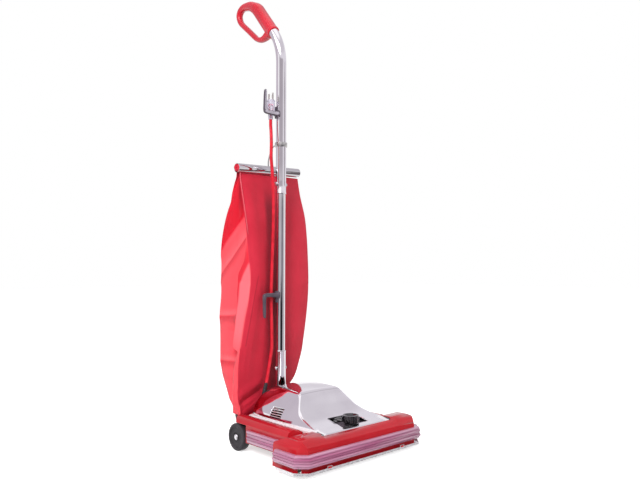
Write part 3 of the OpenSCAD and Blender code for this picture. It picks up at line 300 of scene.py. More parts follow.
dress(brass, "plug_blades")
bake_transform(cord)

# ---- Strain relief ----
# Moulded black rubber sleeve, ribbed so that it bends evenly. It leaves the hood's rear wall
# beside the handle, turns up and narrows into the cord.
def black_rubber():
    finish = new_finish("black_rubber", (0.018, 0.017, 0.019), 0.5)
    tint(finish, mottling(finish, 80), (0.010, 0.010, 0.012), (0.030, 0.028, 0.031))
    relief(finish, mottling(finish, 1400, 2), 0.00008)
    return finish


def along(table, at):
    """Smooth value from a table of (position, value)."""
    if at <= table[0][0]:
        return table[0][1]
    if at >= table[-1][0]:
        return table[-1][1]
    i = max(k for k in range(len(table) - 1) if table[k][0] <= at)
    (x0, y0), (x1, y1) = table[i], table[i + 1]
    chord, t = (y1 - y0) / (x1 - x0), (at - x0) / (x1 - x0)

    def grade(j):
        """The slope at a row of the table, held back so that the curve doesn't overshoot."""
        if j in (0, len(table) - 1):
            return 0
        slope = (table[j + 1][1] - table[j - 1][1]) / (table[j + 1][0] - table[j - 1][0])
        return 0 if slope * chord <= 0 else math.copysign(min(abs(slope), 2.5 * abs(chord)), chord)

    a, b = grade(i) * (x1 - x0), grade(i + 1) * (x1 - x0)
    return (y0 * (2 * t ** 3 - 3 * t * t + 1) + a * (t ** 3 - 2 * t * t + t)
            + y1 * (3 * t * t - 2 * t ** 3) + b * (t ** 3 - t * t))


sleeve = curved([(-57, 297, 105), (-57, 303.5, 105), (-57, 309, 106), (-57, 314, 110),
                 (-56, 319, 118), (-52, 321, 130), (-49, 321, 141), (-46, 322, 149)], 5)
widths = [(0, 14), (5, 14), (14, 13.4), (20, 12.6), (27, 11.6), (31, 11), (35, 10.4)]
groove, plain_end = 1.6, 9      # depth of the grooves, and the points that have none
bm = bmesh.new()
girths = [along(widths, i) - (groove if i > plain_end and i % 3 == 0 else 0)
          for i in range(len(sleeve))]
swept(bm, [(p, girth, girth) for p, girth in zip(sleeve, girths)], sides=20)
boot = make_piece("relief_sleeve", bm, black_rubber(), "base", smooth=50)
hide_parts("strain_relief")

# ---- Studio ----
# A plain white sweep with wide soft lights. What is polished also sees the room behind the
# camera: a grey wall with dark screens and a pale dado, a bright window and a doorway.
room = bpy.data.worlds.new("white_room")
bpy.context.scene.world = room
room.use_nodes = True
tree = room.node_tree
tree.nodes.clear()
link = tree.links.new


def step(kind, *feeds, operation=None, **values):
    """A node of the tree in hand, fed in the order of its sockets by links or values."""
    node = tree.nodes.new(kind)
    if operation:
        node.operation = operation
    for key, value in values.items():
        setattr(node, key, value)
    for i, feed in enumerate(feeds):
        if isinstance(feed, bpy.types.NodeSocket):
            link(feed, node.inputs[i])
        elif feed is not None:
            node.inputs[i].default_value = feed
    return node


heading = step("ShaderNodeTexCoord").outputs["Generated"]
flat = step("ShaderNodeVectorMath", heading, (1, 1, 0), operation="MULTIPLY").outputs[0]
flat = step("ShaderNodeVectorMath", flat, operation="NORMALIZE").outputs[0]
front, right = (step("ShaderNodeVectorMath", flat, way, operation="DOT_PRODUCT").outputs["Value"]
                for way in ((-0.677, -0.736, 0), (0.736, -0.677, 0)))
height = step("ShaderNodeSeparateXYZ", heading).outputs["Z"]


def ease(value, low, high):
    """A mask that goes from 0 at low to 1 at high."""
    return step("ShaderNodeMapRange", value, low, high, 0.0, 1.0,
                interpolation_type="SMOOTHSTEP").outputs[0]


def product(a, b):
    return step("ShaderNodeMath", a, b, operation="MULTIPLY").outputs[0]


def between(value, low, high, soft=0.05):
    """A mask that is one between two levels and fades out past them."""
    return product(ease(value, low - soft, low + soft), ease(value, high + soft, high - soft))


ahead = ease(front, 0.22, 0.34)
level = ease(height, 0.18, 0.10)
rising = between(height, 0.14, 0.42, 0.03)
below = ease(height, 0.0, -0.06)
wall_ahead, dado_ahead, ground_ahead = (product(band, ahead) for band in (level, rising, below))
window = product(ease(front, 0.30, 0.34), ease(right, 0.05, 0.0))
doorway = product(between(front, -0.12, 0.14, 0.03), ease(right, 0.7, 0.8))
shade = [  # what the polish sees, each layer over the one before: where it is, then its colour
    (between(height, 0.32, 0.55), (0.84, 0.81, 0.86)),
    (product(ease(height, 0.56, 0.64), ease(right, 0.1, 0.3)), (0.70, 0.665, 0.715)),
    (ease(right, -0.62, -0.80), (0.61, 0.545, 0.61)),
    (level, (1.0, 0.985, 1.0)),
    (wall_ahead, (0.52, 0.50, 0.53)),
    (product(wall_ahead, between(right, 0.36, 0.86)), (0.20, 0.19, 0.22)),
    (product(ground_ahead, between(right, -0.04, 0.72)), (0.012, 0.012, 0.014)),
    (product(wall_ahead, between(right, -0.92, -0.74, 0.03)), (0.07, 0.06, 0.07)),
    (dado_ahead, (0.98, 0.96, 0.98)),
    (product(dado_ahead, between(right, -0.62, 0.68)), (0.46, 0.42, 0.46)),
    (product(dado_ahead, ease(right, 0.66, 0.74)), (0.78, 0.75, 0.79)),
    (ease(height, 0.84, 0.93), (1.15, 1.12, 1.15)),
    (product(between(height, 0.50, 0.74, 0.02), window), (3.6, 3.5, 3.6)),
    (product(between(height, -0.9, 0.32), doorway), (0.17, 0.14, 0.15))]
view = (0.76, 0.725, 0.775, 1)
for mask, colour in shade:
    layer = step("ShaderNodeMix", data_type="RGBA")
    if isinstance(view, tuple):
        layer.inputs[6].default_value = view
    else:
        link(view, layer.inputs[6])
    layer.inputs[7].default_value = (*colour, 1)
    link(mask, layer.inputs[0])
    view = layer.outputs[2]
seen = step("ShaderNodeBackground", view, 1.0)
white = step("ShaderNodeBackground", (1, 1, 1, 1), 1.0)
glow = step("ShaderNodeBackground", (1.0, 0.99, 1.0, 1), 0.46)
ray = step("ShaderNodeLightPath")
first = step("ShaderNodeMixShader", ray.outputs["Is Glossy Ray"], glow.outputs[0], seen.outputs[0])
clear = step("ShaderNodeMath", ray.outputs["Is Camera Ray"], ray.outputs["Is Transmission Ray"],
             operation="MAXIMUM")
second = step("ShaderNodeMixShader", clear.outputs[0], first.outputs[0], white.outputs[0])
link(second.outputs[0], step("ShaderNodeOutputWorld").inputs["Surface"])

bm = bmesh.new()
bmesh.ops.create_grid(bm, x_segments=1, y_segments=1, size=14)
floor_mesh = bpy.data.meshes.new("studio_floor")
bm.to_mesh(floor_mesh)
bm.free()
floor = bpy.data.objects.new("studio_floor", floor_mesh)
shop.objects.link(floor)
floor.visible_glossy = False
paper = new_finish("white_paper", (0.86, 0.86, 0.87), 0.9, Specular_IOR_Level=0.1)
tree = paper.node_tree
link = tree.links.new
shine = step("ShaderNodeEmission", (1, 1, 1, 1), 0.62)
ray = step("ShaderNodeLightPath")
direct = step("ShaderNodeMath", ray.outputs["Is Camera Ray"], ray.outputs["Is Glossy Ray"],
              operation="MAXIMUM")
direct = step("ShaderNodeMath", direct.outputs[0], ray.outputs["Is Transmission Ray"],
              operation="MAXIMUM")
bright = step("ShaderNodeMixShader", direct.outputs[0])
link(shine.outputs[0], bright.inputs[2])
both = step("ShaderNodeAddShader", tree.nodes["Principled BSDF"].outputs[0], bright.outputs[0])
link(both.outputs[0], tree.nodes["Material Output"].inputs["Surface"])
floor_mesh.materials.append(paper)

for name, spot, target, size, power in (
        ("left_window", (-2.2, -1.25, 1.75), (0, 0, 0.4), 0.8, 66),
        ("front_fill", (0.6, -2.6, 1.5), (0, 0, 0.45), 1.4, 15),
        ("overhead", (-0.2, 0.2, 3.0), (0, 0, 0.3), 2.0, 15)):
    lamp = bpy.data.lights.new(name, "AREA")
    lamp.size, lamp.energy = size, power
    holder = bpy.data.objects.new(name, lamp)
    shop.objects.link(holder)
    holder.location = spot
    holder.rotation_euler = (Vector(target) - Vector(spot)).to_track_quat("-Z", "Y").to_euler()
    holder.visible_glossy = False

# ---- Castings ----
# The nozzle and the rear body are aluminium castings in gloss red enamel. The paint has
# filled the corners, so every edge is a little round and catches the light.
def red_enamel():
    finish = new_finish("red_enamel", (0.44, 0.008, 0.015), 0.34, Coat_Weight=0.75,
                        Coat_Roughness=0.06, Specular_IOR_Level=0.12)
    cloud = mottling(finish, 9)
    tint(finish, cloud, (0.41, 0.006, 0.013), (0.48, 0.010, 0.019))
    dull(finish, mottling(finish, 30), 0.24, 0.38)
    relief(finish, mottling(finish, 420, 2), 0.00004)
    return finish


def copied(node, name, finish, body, bevel=1.0, segments=2, smooth=30, tidy=0.6):
    """A merged copy of a CAD node, with soft edges, which stands for it."""
    bm = bmesh.new()
    bm.from_mesh(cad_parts[node].data)
    bmesh.ops.remove_doubles(bm, verts=bm.verts, dist=2e-6)
    bmesh.ops.dissolve_limit(bm, angle_limit=math.radians(tidy), verts=bm.verts, edges=bm.edges)
    bmesh.ops.dissolve_degenerate(bm, edges=bm.edges, dist=1e-5)
    piece = make_piece(name, bm, finish, body, bevel=0, smooth=smooth, clean=False)
    if bevel:
        soften(piece, bevel, segments, smooth + 4)
    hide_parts(node)
    return piece


def calculated(finish, operation, a, b=0.0):
    """One step of arithmetic on two masks, distances or numbers."""
    node = finish.node_tree.nodes.new("ShaderNodeMath")
    node.operation = operation
    for socket, value in zip(node.inputs, (a, b)):
        if isinstance(value, (int, float)):
            socket.default_value = value
        else:
            finish.node_tree.links.new(value, socket)
    return node.outputs[0]


def parts_of(finish, output, kept=None):
    """The three parts of a piece's own coordinates or normal, or of a vector kept on its points."""
    tree = finish.node_tree
    split = tree.nodes.new("ShaderNodeSeparateXYZ")
    if kept:
        source = tree.nodes.new("ShaderNodeAttribute")
        source.attribute_name, output = kept, "Vector"
    else:
        source = tree.nodes.new("ShaderNodeTexCoord")
    tree.links.new(source.outputs[output], split.inputs[0])
    return split.outputs[0], split.outputs[1], split.outputs[2]


def distances(finish, either_side=True, kept=None):
    """How far a point is from the middle, behind the nozzle's front, and above the floor, in mm."""
    x, y, z = (calculated(finish, "MULTIPLY", part, 1 / mm)
               for part in parts_of(finish, "Object", kept))
    return (calculated(finish, "ABSOLUTE", x) if either_side else x,
            calculated(finish, "ADD", y, nozzle_front), z)


def rises(finish, value, low, high):
    """Mask that goes from 0 at low to 1 at high."""
    soft = finish.node_tree.nodes.new("ShaderNodeMapRange")
    soft.interpolation_type = "SMOOTHSTEP"
    soft.inputs["From Min"].default_value, soft.inputs["From Max"].default_value = low, high
    finish.node_tree.links.new(value, soft.inputs["Value"])
    return soft.outputs[0]


def all_of(finish, *terms):
    """Mask where all the terms hold. Each is a mask, or (value, low, high) for rises."""
    masks = [rises(finish, *term) if isinstance(term, tuple) else term for term in terms]
    held = masks[0]
    for mask in masks[1:]:
        held = calculated(finish, "MULTIPLY", held, mask)
    return held


def overlay(finish, mask, colour, cover=1.0):
    """Another colour over the finish's own where the mask holds."""
    if cover < 1:
        mask = calculated(finish, "MULTIPLY", cover, mask)
    tree = finish.node_tree
    base = tree.nodes["Principled BSDF"].inputs["Base Color"]
    mix = tree.nodes.new("ShaderNodeMix")
    mix.data_type = "RGBA"
    under = base.links[0].from_socket
    colours = [i for i in mix.inputs if i.type == "RGBA"]
    colours[1].default_value = (*colour, 1)
    tree.links.new(mask, mix.inputs[0])
    tree.links.new(under, colours[0])
    tree.links.new([o for o in mix.outputs if o.type == "RGBA"][0], base)


enamel = red_enamel()
x, y, z = distances(enamel)
overlay(enamel, all_of(enamel, (x, 105, 103), (y, 30, 32), (y, 296, 294), (z, 50, 52)),
        (0.022, 0.019, 0.022))      # unenamelled under the hood, and painted near black there as painted shade
casting = copied("base_housing", "enamelled_casting", enamel, "base", bevel=1.6, segments=3,
                 smooth=46)


def share(value):
    """A value held between 0 and 1."""
    return min(1, max(0, value))


# its ridge dips in front of the hood, its ends lean in, and its right shoulder is low
hood_side, dip = 117, 6.2
end_start, end_foot, end_lean = 172, 56, 0.28
shoulder_top, shoulder_crown = 73, 0.1
bm = bmesh.new()
bm.from_mesh(casting.data)
for across in (-hood_side - 7, -hood_side, hood_side, hood_side + 7):
    bmesh.ops.bisect_plane(bm, geom=bm.verts[:] + bm.edges[:] + bm.faces[:], dist=1e-6,
                           plane_co=place(across, 0, 0), plane_no=(1, 0, 0))
for v in bm.verts:
    out, back, high = abs(v.co.x) / mm, v.co.y / mm + nozzle_front, v.co.z / mm
    if out < hood_side + 0.5 and 3 < back < 28 and high > 60:
        v.co.z -= dip * share((back - 3) / 20) * mm
    if out > end_start and back < 104 and high > end_foot:
        lean = (out - end_start) * end_lean * share((high - end_foot) / 20)
        v.co.x -= math.copysign(lean * mm, v.co.x)
    if v.co.x > (hood_side + 2) * mm and 84 < back < 304 and high > shoulder_top + 1:
        v.co.z = (shoulder_top + (high - shoulder_top - 1) * shoulder_crown) * mm
bm.to_mesh(casting.data)
bm.free()

# ---- Hood ----
# One deep-drawn steel sheet, polished and chromium plated. A low apron covers the nozzle's
# middle, an arch over the motor rises behind it, and a skirt stands in a groove of the casting.
def chrome(shade=1.0):
    finish = new_finish("chrome_plate", (0.86, 0.84, 0.87), 0.06, 1.0)
    tint(finish, mottling(finish, 14), (0.82 * shade, 0.80 * shade, 0.835 * shade),
         (0.88 * shade, 0.865 * shade, 0.89 * shade))
    dull(finish, mottling(finish, 45, 4), 0.035, 0.10)
    relief(finish, mottling(finish, 26, 2), 0.00012)
    return finish


plate = chrome()
hood_plate = chrome()
x, y, z = distances(hood_plate)
faced = parts_of(hood_plate, "Normal")

# its flank is painted enamel red behind a bowed line, and low down beside the arch: a painted
# reflection of the enamel
flank = rises(hood_plate, faced[2], 0.88, 0.72)
over_bow = calculated(hood_plate, "SUBTRACT", z, 112)
squared = calculated(hood_plate, "MULTIPLY", over_bow, over_bow)
bow = calculated(hood_plate, "MULTIPLY", squared, 0.045)
edge = calculated(hood_plate, "ADD", y, bow)
behind = calculated(hood_plate, "MAXIMUM", rises(hood_plate, edge, 259, 265),
                    all_of(hood_plate, (z, 91, 89), (y, 134, 142)))
overlay(hood_plate, all_of(hood_plate, flank, behind, (z, 83.5, 84.5)), (0.50, 0.055, 0.10))

# two pressed lines across its top, where the apron and the arch begin, are only painted: darker
# lines on its upward faces, as painted shade
for line, facing, colour in ((129, 0.8, (0.66, 0.64, 0.67)), (158, 0.7, (0.70, 0.68, 0.71))):
    aside = calculated(hood_plate, "ABSOLUTE", calculated(hood_plate, "SUBTRACT", y, line))
    overlay(hood_plate, all_of(hood_plate, (aside, 1.6, 0.4), (faced[2], facing, facing + 0.1)),
            colour)

# the flange is brushed rather than polished, and the slots' rims are painted near black, as painted
# shade inside the slots
flange = all_of(hood_plate, (z, 85, 83.5), (x, 98, 102))
polish = calculated(hood_plate, "SUBTRACT", 1.0, calculated(hood_plate, "MULTIPLY", flange, 0.75))
hood_plate.node_tree.links.new(
    polish, hood_plate.node_tree.nodes["Principled BSDF"].inputs["Metallic"])
sideways = calculated(hood_plate, "ABSOLUTE", faced[0])
overlay(hood_plate, all_of(hood_plate, (sideways, 0.45, 0.35), (y, 177, 177.5), (y, 218, 217.5),
                           (z, 85, 86), (z, 113, 112), (x, 74, 76)), (0.02, 0.018, 0.02))

# its form, by distance back: the skirt's half width, the shoulder's place across and its height,
# how far the top rises over the shoulder, and how far the side swells
side_half = [(27, 115), (60, 117), (303, 117)]
corner_x = [(27, 114), (103, 98), (130, 92), (160, 68), (230, 63), (303, 44)]
corner_z = [(27, 79), (62, 85), (88, 90.5), (103, 95), (118, 101), (130, 108), (140, 121),
            (152, 138), (160, 146), (172, 149), (230, 151), (285, 146), (303, 141)]
crown = [(27, 0), (130, 1), (165, 2), (230, 3), (303, 3)]
side_bulge = [(27, 0), (130, 2), (165, 7), (230, 11), (303, 11)]
hood_foot = 71.2


def bent(a, b, c, t):
    """A point on the curve from a to c that b pulls towards itself."""
    return a * (1 - t) ** 2 + 2 * b * t * (1 - t) + c * t * t


def hood_half_section(y):
    """Points of the hood from its middle line to its skirt at a distance back, as (x, z)."""
    h, cx, cz = along(side_half, y), along(corner_x, y), along(corner_z, y)
    top, foot = cz + along(crown, y), min(81, cz - 0.8)
    bulge, tuck = along(side_bulge, y), 12 * (max(0, y - 236) / 67) ** 2
    arch = 10 * (max(0, y - 190) / 113) ** 1.5
    flat = min(7, cx * 0.2)
    points = []
    # over the top
    for k in range(13):
        x = (cx - flat) * k / 12
        points.append((x, top - (top - cz) * (x / cx) ** 2))
    # round the shoulder
    start, corner = Vector(points[-1]), Vector((cx, cz + 0.2))
    drop = min(6, (cz - foot) * 0.3)
    slope = Vector((h - 3 - cx, foot - cz))
    begin = corner + slope.normalized() * drop + Vector((min(1, bulge), 0))
    points += [tuple(bent(start, corner, begin, k / 6)) for k in range(1, 6)]
    # down the flank
    end = Vector((h - 4, foot + 0.8))
    for k in range(13):
        t = k / 12
        run = begin.lerp(end, t)
        rise = arch * 3.6 * t ** 0.8 * (1 - t) ** 1.6
        swell = bulge * 4.6 * t ** 1.6 * (1 - t) ** 0.8
        points.append((run.x + swell - tuck * t + rise * 0.6, run.y + rise * 0.8))
    # into the skirt, which stands upright in the casting's groove
    end.x -= tuck
    points += [tuple(bent(end, Vector((h, foot)), Vector((h, foot - 4)), k / 4))
               for k in range(1, 4)]
    return points + [(h, max(foot - 4.5, hood_foot + 2)), (h, hood_foot)]


def face_outwards(bm, inside):
    """Turns all faces away from a point inside the piece, in mm."""
    bmesh.ops.recalc_face_normals(bm, faces=bm.faces)
    inside = place(*inside)
    if sum(f.normal.dot(f.calc_center_median() - inside) for f in bm.faces) < 0:
        bmesh.ops.reverse_faces(bm, faces=bm.faces)


# rows of the sheet: distance back, and the share of the height that it has there
rows = [(27, 0.0), (27, 0.5), (27.2, 0.75), (28.2, 0.93), (30.5, 1.0)]
rows += [(30.5 + 4.2 * k, 1.0) for k in range(1, 64)]
rows += [(298.5, 1.0), (300.5, 0.99), (302, 0.975), (302.8, 0.955), (303, 0.92), (303, 0.6),
         (303, 0.3), (303, 0.0)]
half = len(hood_half_section(100)) - 1
bm = bmesh.new()
made = bmesh.ops.create_grid(bm, x_segments=2 * half, y_segments=len(rows) - 1, size=1)["verts"]
for v in made:
    i = round((v.co.x + 1) / 2 * 2 * half) - half
    y, rise = rows[round((v.co.y + 1) / 2 * (len(rows) - 1))]
    x, z = hood_half_section(y)[abs(i)]
    wider = 5 * share((150 - y) / 30) * share(x / 100) if i > 0 else 0
    v.co = place(math.copysign(x + wider, i) if i else 0, y, hood_foot + (z - hood_foot) * rise)
bmesh.ops.remove_doubles(bm, verts=bm.verts, dist=2e-6)
face_outwards(bm, (0, 200, 60))


def open_up(bm, low, high):
    """Cuts the sheet along the sides of a box, in mm, and takes out what lies inside it."""
    low, high = place(*low), place(*high)
    for axis in range(3):
        for level in (low[axis], high[axis]):
            near = [f for f in bm.faces
                    if all(max(v.co[i] for v in f.verts) > low[i] - 1e-5
                           and min(v.co[i] for v in f.verts) < high[i] + 1e-5 for i in range(3))]
            parts = set(near)
            for f in near:
                parts.update(f.verts)
                parts.update(f.edges)
            normal = Vector((0, 0, 0))
            normal[axis] = 1
            bmesh.ops.bisect_plane(bm, geom=list(parts), dist=1e-7, plane_co=normal * level,
                                   plane_no=normal)
    gone = [f for f in bm.faces
            if all(low[i] < f.calc_center_median()[i] < high[i] for i in range(3))]
    bmesh.ops.delete(bm, geom=gone, context="FACES")


open_up(bm, (-34, 45, 60), (56, 95, 120))           # the knob's window
open_up(bm, (-31, 279, 60), (31, 340, 200))         # room for the yoke to lie back
open_up(bm, (-46, 299, 60), (46, 310, 114))         # the rear wall below it
open_up(bm, (-65, 299, 97), (-49, 312, 113))        # the strain relief
slot_pitch, slot_low, slot_high = 5.4, 108.5, 111.6
for left, right in ((-140, -80), (80, 140)):
    for i in range(5):
        drop = slot_pitch * i
        open_up(bm, (left, 178, slot_low - drop), (right, 217, slot_high - drop))
hood = make_piece("plated_hood", bm, hood_plate, None, smooth=40, clean=False)
wall = hood.modifiers.new("sheet", "SOLIDIFY")
wall.thickness, wall.offset, wall.material_offset = 1.8 * mm, -1, 1
# the inside of the sheet is unplated, and made very dark as painted shade for the hollow under the
# hood
bare = new_finish("unplated_inside_painted_shade", (0.10, 0.095, 0.10), 0.6, 0.4)
tint(bare, mottling(bare, 30), (0.07, 0.065, 0.07), (0.13, 0.12, 0.13))
hood.data.materials.append(bare)
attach(hood, "base")
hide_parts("hood")

# raised plate under the knob, seen through the window
grey_moulding = new_finish("grey_moulding", (0.055, 0.050, 0.060), 0.45)
tint(grey_moulding, mottling(grey_moulding, 40), (0.080, 0.062, 0.082), (0.110, 0.088, 0.112))
relief(grey_moulding, mottling(grey_moulding, 700, 2), 0.0001)
copied("dial_plate", "dial_seat", grey_moulding, "base", bevel=0.6)

# ---- Floor plate and latches ----
# Pressed steel plate over the brush chamber, bright from the mill, with a turned-up rim. Two
# turn latches hold its tongue.
def mill_steel():
    finish = new_finish("mill_steel", (0.85, 0.85, 0.87), 0.28, 0.75)
    grain = mottling(finish, 60, 5, (1, 14, 14))
    tint(finish, grain, (0.80, 0.79, 0.81), (0.92, 0.91, 0.93))
    dull(finish, grain, 0.18, 0.40)
    relief(finish, grain, 0.00004)
    return finish


steel = mill_steel()
sole = copied("bottom_plate", "sole_plate", steel, "base", bevel=0.35)
for side in ("left", "right"):
    copied("plate_latch_" + side, "turn_latch_" + side, steel, "latch_" + side, bevel=0.3)

# small red catches on the plate's front edge, with a bright wire round each
catch_size, rim_wide, face_depth = (13, 3, 6.5), 1.3, 1.2
for side, across in (("left", -127), ("right", 119)):
    bm = bmesh.new()
    bmesh.ops.create_cube(bm, size=1, matrix=Matrix.Translation(place(across, -11.5, 19.5))
                          @ Matrix.Diagonal((*(length * mm for length in catch_size), 1)))
    front = [f for f in bm.faces if f.normal.y < -0.9]
    bmesh.ops.inset_individual(bm, faces=front, thickness=rim_wide * mm)
    bmesh.ops.translate(bm, verts=list({v for f in front for v in f.verts}),
                        vec=(0, face_depth * mm, 0))
    catch = make_piece("plate_catch_" + side, bm, steel, "base", bevel=0.5)
    catch.data.materials.append(enamel)
    for f in catch.data.polygons:
        if f.normal.y < -0.9 and f.center.y > place(0, -12.6, 0).y:
            f.material_index = 1

# ---- Guards ----
# Clear pinkish vinyl strips round the nozzle and along the sides, extruded with fine ribs, so
# that the enamel shows through them.
def guard_vinyl():
    finish = new_finish("guard_vinyl", (0.66, 0.33, 0.48), 0.16, Transmission_Weight=0.25, IOR=1.35,
                        Coat_Weight=0.6, Coat_Roughness=0.05)
    streak = mottling(finish, 9, 3, (0.25, 0.25, 7))
    tint(finish, streak, (0.46, 0.13, 0.26), (0.72, 0.42, 0.56), 0.40, 0.64)
    dull(finish, mottling(finish, 60), 0.12, 0.26)
    relief(finish, mottling(finish, 30, 1, (0.1, 0.1, 9)), 0.0006, 0.6)
    return finish


vinyl = guard_vinyl()
guard_top = 54
for node in ("front_guard", "side_guard_left", "side_guard_right"):
    strip = copied(node, "vinyl_" + node, vinyl, "base", bevel=0.9, segments=3, smooth=50)
    if node == "front_guard":
        # it is less high than its solid, and its top and bottom edges are drawn in
        for v in strip.data.vertices:
            high = v.co.z / mm
            v.co.z = (guard_top - (guard_top - high) * 0.85) * mm
            inset = 5.5 * max(0, (high - 44) / 10) ** 1.5 + 3.5 * max(0, (29 - high) / 8) ** 1.5
            out, ahead = abs(v.co.x) / mm, -v.co.y / mm
            if out > 200:
                v.co.x -= math.copysign(min(inset, out - 201) * mm, v.co.x)
            if ahead > 254:
                v.co.y += min(inset, ahead - 254.5) * mm

# ---- Height adjustment ----
# Black lobed knob on a stem, a white stepped cam under it, and a pressed steel carriage
# hinged under the body, which carries the two small front wheels.
black = black_rubber()
phenolic = new_finish("black_phenolic", (0.012, 0.011, 0.013), 0.14, Coat_Weight=0.4)
tint(phenolic, mottling(phenolic, 60), (0.008, 0.007, 0.009), (0.020, 0.018, 0.021))
dull(phenolic, mottling(phenolic, 90), 0.08, 0.22)
knob = copied("height_knob", "lobed_knob", phenolic, "height_dial", bevel=1.2, segments=3)
nylon = new_finish("white_nylon", (0.78, 0.76, 0.70), 0.4)
tint(nylon, mottling(nylon, 70), (0.72, 0.70, 0.63), (0.82, 0.80, 0.75))
dress(nylon, "height_cam")
zinc = new_finish("zinc_plate", (0.62, 0.62, 0.60), 0.32, 1.0)
cloud = mottling(zinc, 90, 4)
tint(zinc, cloud, (0.52, 0.52, 0.50), (0.72, 0.72, 0.70))
dull(zinc, cloud, 0.22, 0.42)
copied("front_carriage", "wheel_carriage", zinc, "carriage", bevel=0.5)
dress(zinc, "carriage_pins")
for side in ("left", "right"):
    copied("front_wheel_" + side, "front_roller_" + side, grey_moulding, "wheel_front_" + side,
           bevel=0.8)

# ---- Rear wheels ----
# Dark rubber tyres on moulded discs, which turn on studs in the casting. A domed chrome cap is
# pressed on each stud's end.
def tyre_rubber():
    finish = new_finish("wheel_rubber", (0.075, 0.070, 0.082), 0.6)
    tint(finish, mottling(finish, 50), (0.026, 0.023, 0.027), (0.040, 0.036, 0.041))
    dull(finish, mottling(finish, 120), 0.45, 0.75)
    relief(finish, mottling(finish, 700), 0.00012)
    return finish


rubber = tyre_rubber()
axle_back, axle_high = 288.5, 34
tyre_profile = [(4.6, -11), (30, -11), (32.6, -10), (34, -7), (34, 7), (33.4, 8.9), (32, 10.3),
                (30, 11), (26.4, 11), (25, 9.6), (24.4, 8.6), (15, 8.2), (12, 9.5), (11, 7),
                (4.6, 7), (4.6, -11)]
for side, out in (("left", -1), ("right", 1)):
    bm = bmesh.new()
    turned(bm, tyre_profile, (out * 157, axle_back, axle_high), axis=(out, 0, 0),
           across=(0, 1, 0), steps=64)
    tyre = make_piece("tyre_" + side, bm, rubber, "wheel_rear_" + side, bevel=0.8, smooth=40)
    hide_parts("rear_wheel_" + side)
dress(steel, "rear_axles")
cap_profile = [(0, -1.5), (7.2, -1.5), (7.5, -0.8), (7.5, 0.4), (6.6, 1.6), (4.6, 2.3),
               (2.2, 2.6), (0, 2.7)]
bm = bmesh.new()
for out in (-1, 1):
    turned(bm, cap_profile, (out * 166.4, axle_back, axle_high), axis=(out, 0, 0),
           across=(0, 1, 0), steps=40)
caps = make_piece("hub_caps", bm, plate, "base", smooth=50)
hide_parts("axle_caps")

# ---- Brush ----
# Turned beech roll on a steel shaft, with two spiral rows of black bristle, split in the
# middle by the belt's groove, and moulded caps that close the ends.
beech = new_finish("beech", (0.50, 0.30, 0.14), 0.5)
grain = mottling(beech, 22, 6, (0.25, 5, 5))
tint(beech, grain, (0.40, 0.22, 0.09), (0.58, 0.38, 0.19))
relief(beech, grain, 0.0002)
bristle = new_finish("bristle_tufts", (0.02, 0.02, 0.02), 0.7)
tuft = mottling(bristle, 260, 2, (3, 1, 1))
tint(bristle, tuft, (0.008, 0.008, 0.008), (0.05, 0.05, 0.05))
relief(bristle, tuft, 0.0012)
copied("brush_roll", "beech_roll", beech, "brush", bevel=0.8)
dress(bristle, "brush_strips")
dress(steel, "brush_shaft")
dress(black, "brush_end_caps")

# ---- Belt, fan and motor ----
# A round rubber belt runs from the motor's pulley to the roll. The fan is cast, and the
# motor's windings, stack and brushes are bare, as they come from the winder.
cast = new_finish("bare_casting", (0.42, 0.42, 0.43), 0.5, 0.9)
cloud = mottling(cast, 200, 4)
tint(cast, cloud, (0.33, 0.33, 0.34), (0.52, 0.52, 0.53))
relief(cast, cloud, 0.0004)
stack = new_finish("laminations", (0.30, 0.29, 0.29), 0.4, 1.0)
layers = mottling(stack, 500, 1, (0.02, 0.02, 3))
tint(stack, layers, (0.16, 0.155, 0.155), (0.40, 0.39, 0.39))
relief(stack, layers, 0.0003)
copper = new_finish("varnished_copper", (0.62, 0.25, 0.09), 0.32, 1.0)
winding = mottling(copper, 420, 2, (0.3, 3, 0.3))
tint(copper, winding, (0.46, 0.15, 0.05), (0.74, 0.34, 0.13))
relief(copper, winding, 0.0004)
carbon = new_finish("carbon", (0.03, 0.03, 0.032), 0.6)
tint(carbon, mottling(carbon, 300), (0.02, 0.02, 0.02), (0.05, 0.05, 0.05))
dress(black, "drive_belt")
dress(steel, "motor_pulley", "rotor_shaft", "bearings")
dress(cast, "fan", "fan_cover", "motor_case", "end_bell")
dress(stack, "armature", "field_core")
dress(copper, "commutator", "field_coils")
dress(brass, "brush_holders")
dress(carbon, "carbon_brushes")

# ---- Exhaust elbow ----
# Black moulded bend that leads from the fan room back and up to the bag's cuff, which is
# gathered round it.
copied("exhaust_elbow", "exhaust_bend", black, "base", bevel=0.6, smooth=35)

# ---- Handle tubes ----
# The yoke is a zinc die casting on a steel pin. The tubes are chromium plated steel: the
# middle one is the thinnest and slides into the other two, whose ends are rolled to a lip.
copied("handle_yoke", "die_cast_yoke", plate, "handle", bevel=1.2, segments=3)
copied("pivot_pin", "recline_pin", zinc, "base", bevel=0.6)
tube_back = 318.5       # how far the tubes' middle line stands behind the nozzle's front
bm = bmesh.new()
turned(bm, [(12.8, 16), (14.75, 16), (14.75, 132.6), (15.5, 133.4), (15.6, 134.6), (15.1, 135.8),
            (13.6, 136), (12.8, 135.4), (12.8, 16)], (0, tube_back, 98), steps=64)
socket = make_piece("socket_sleeve", bm, plate, "handle", smooth=50)
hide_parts("socket_tube")
bm = bmesh.new()
turned(bm, [(11.1, 0), (12.7, 0), (12.7, 563), (11.1, 563), (11.1, 0)], (0, tube_back, 150),
       steps=64)
middle = make_piece("middle_pipe", bm, plate, "handle", smooth=50)
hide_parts("middle_tube")

tilt, bend_radius, bend_foot = math.radians(39), 155, 1030
lead = Vector((0, math.sin(tilt), math.cos(tilt)))


def on_bend(turn):
    """The upper tube's middle line where it has turned back by an angle."""
    return Vector((0, tube_back + bend_radius * (1 - math.cos(turn)),
                   bend_foot + bend_radius * math.sin(turn)))


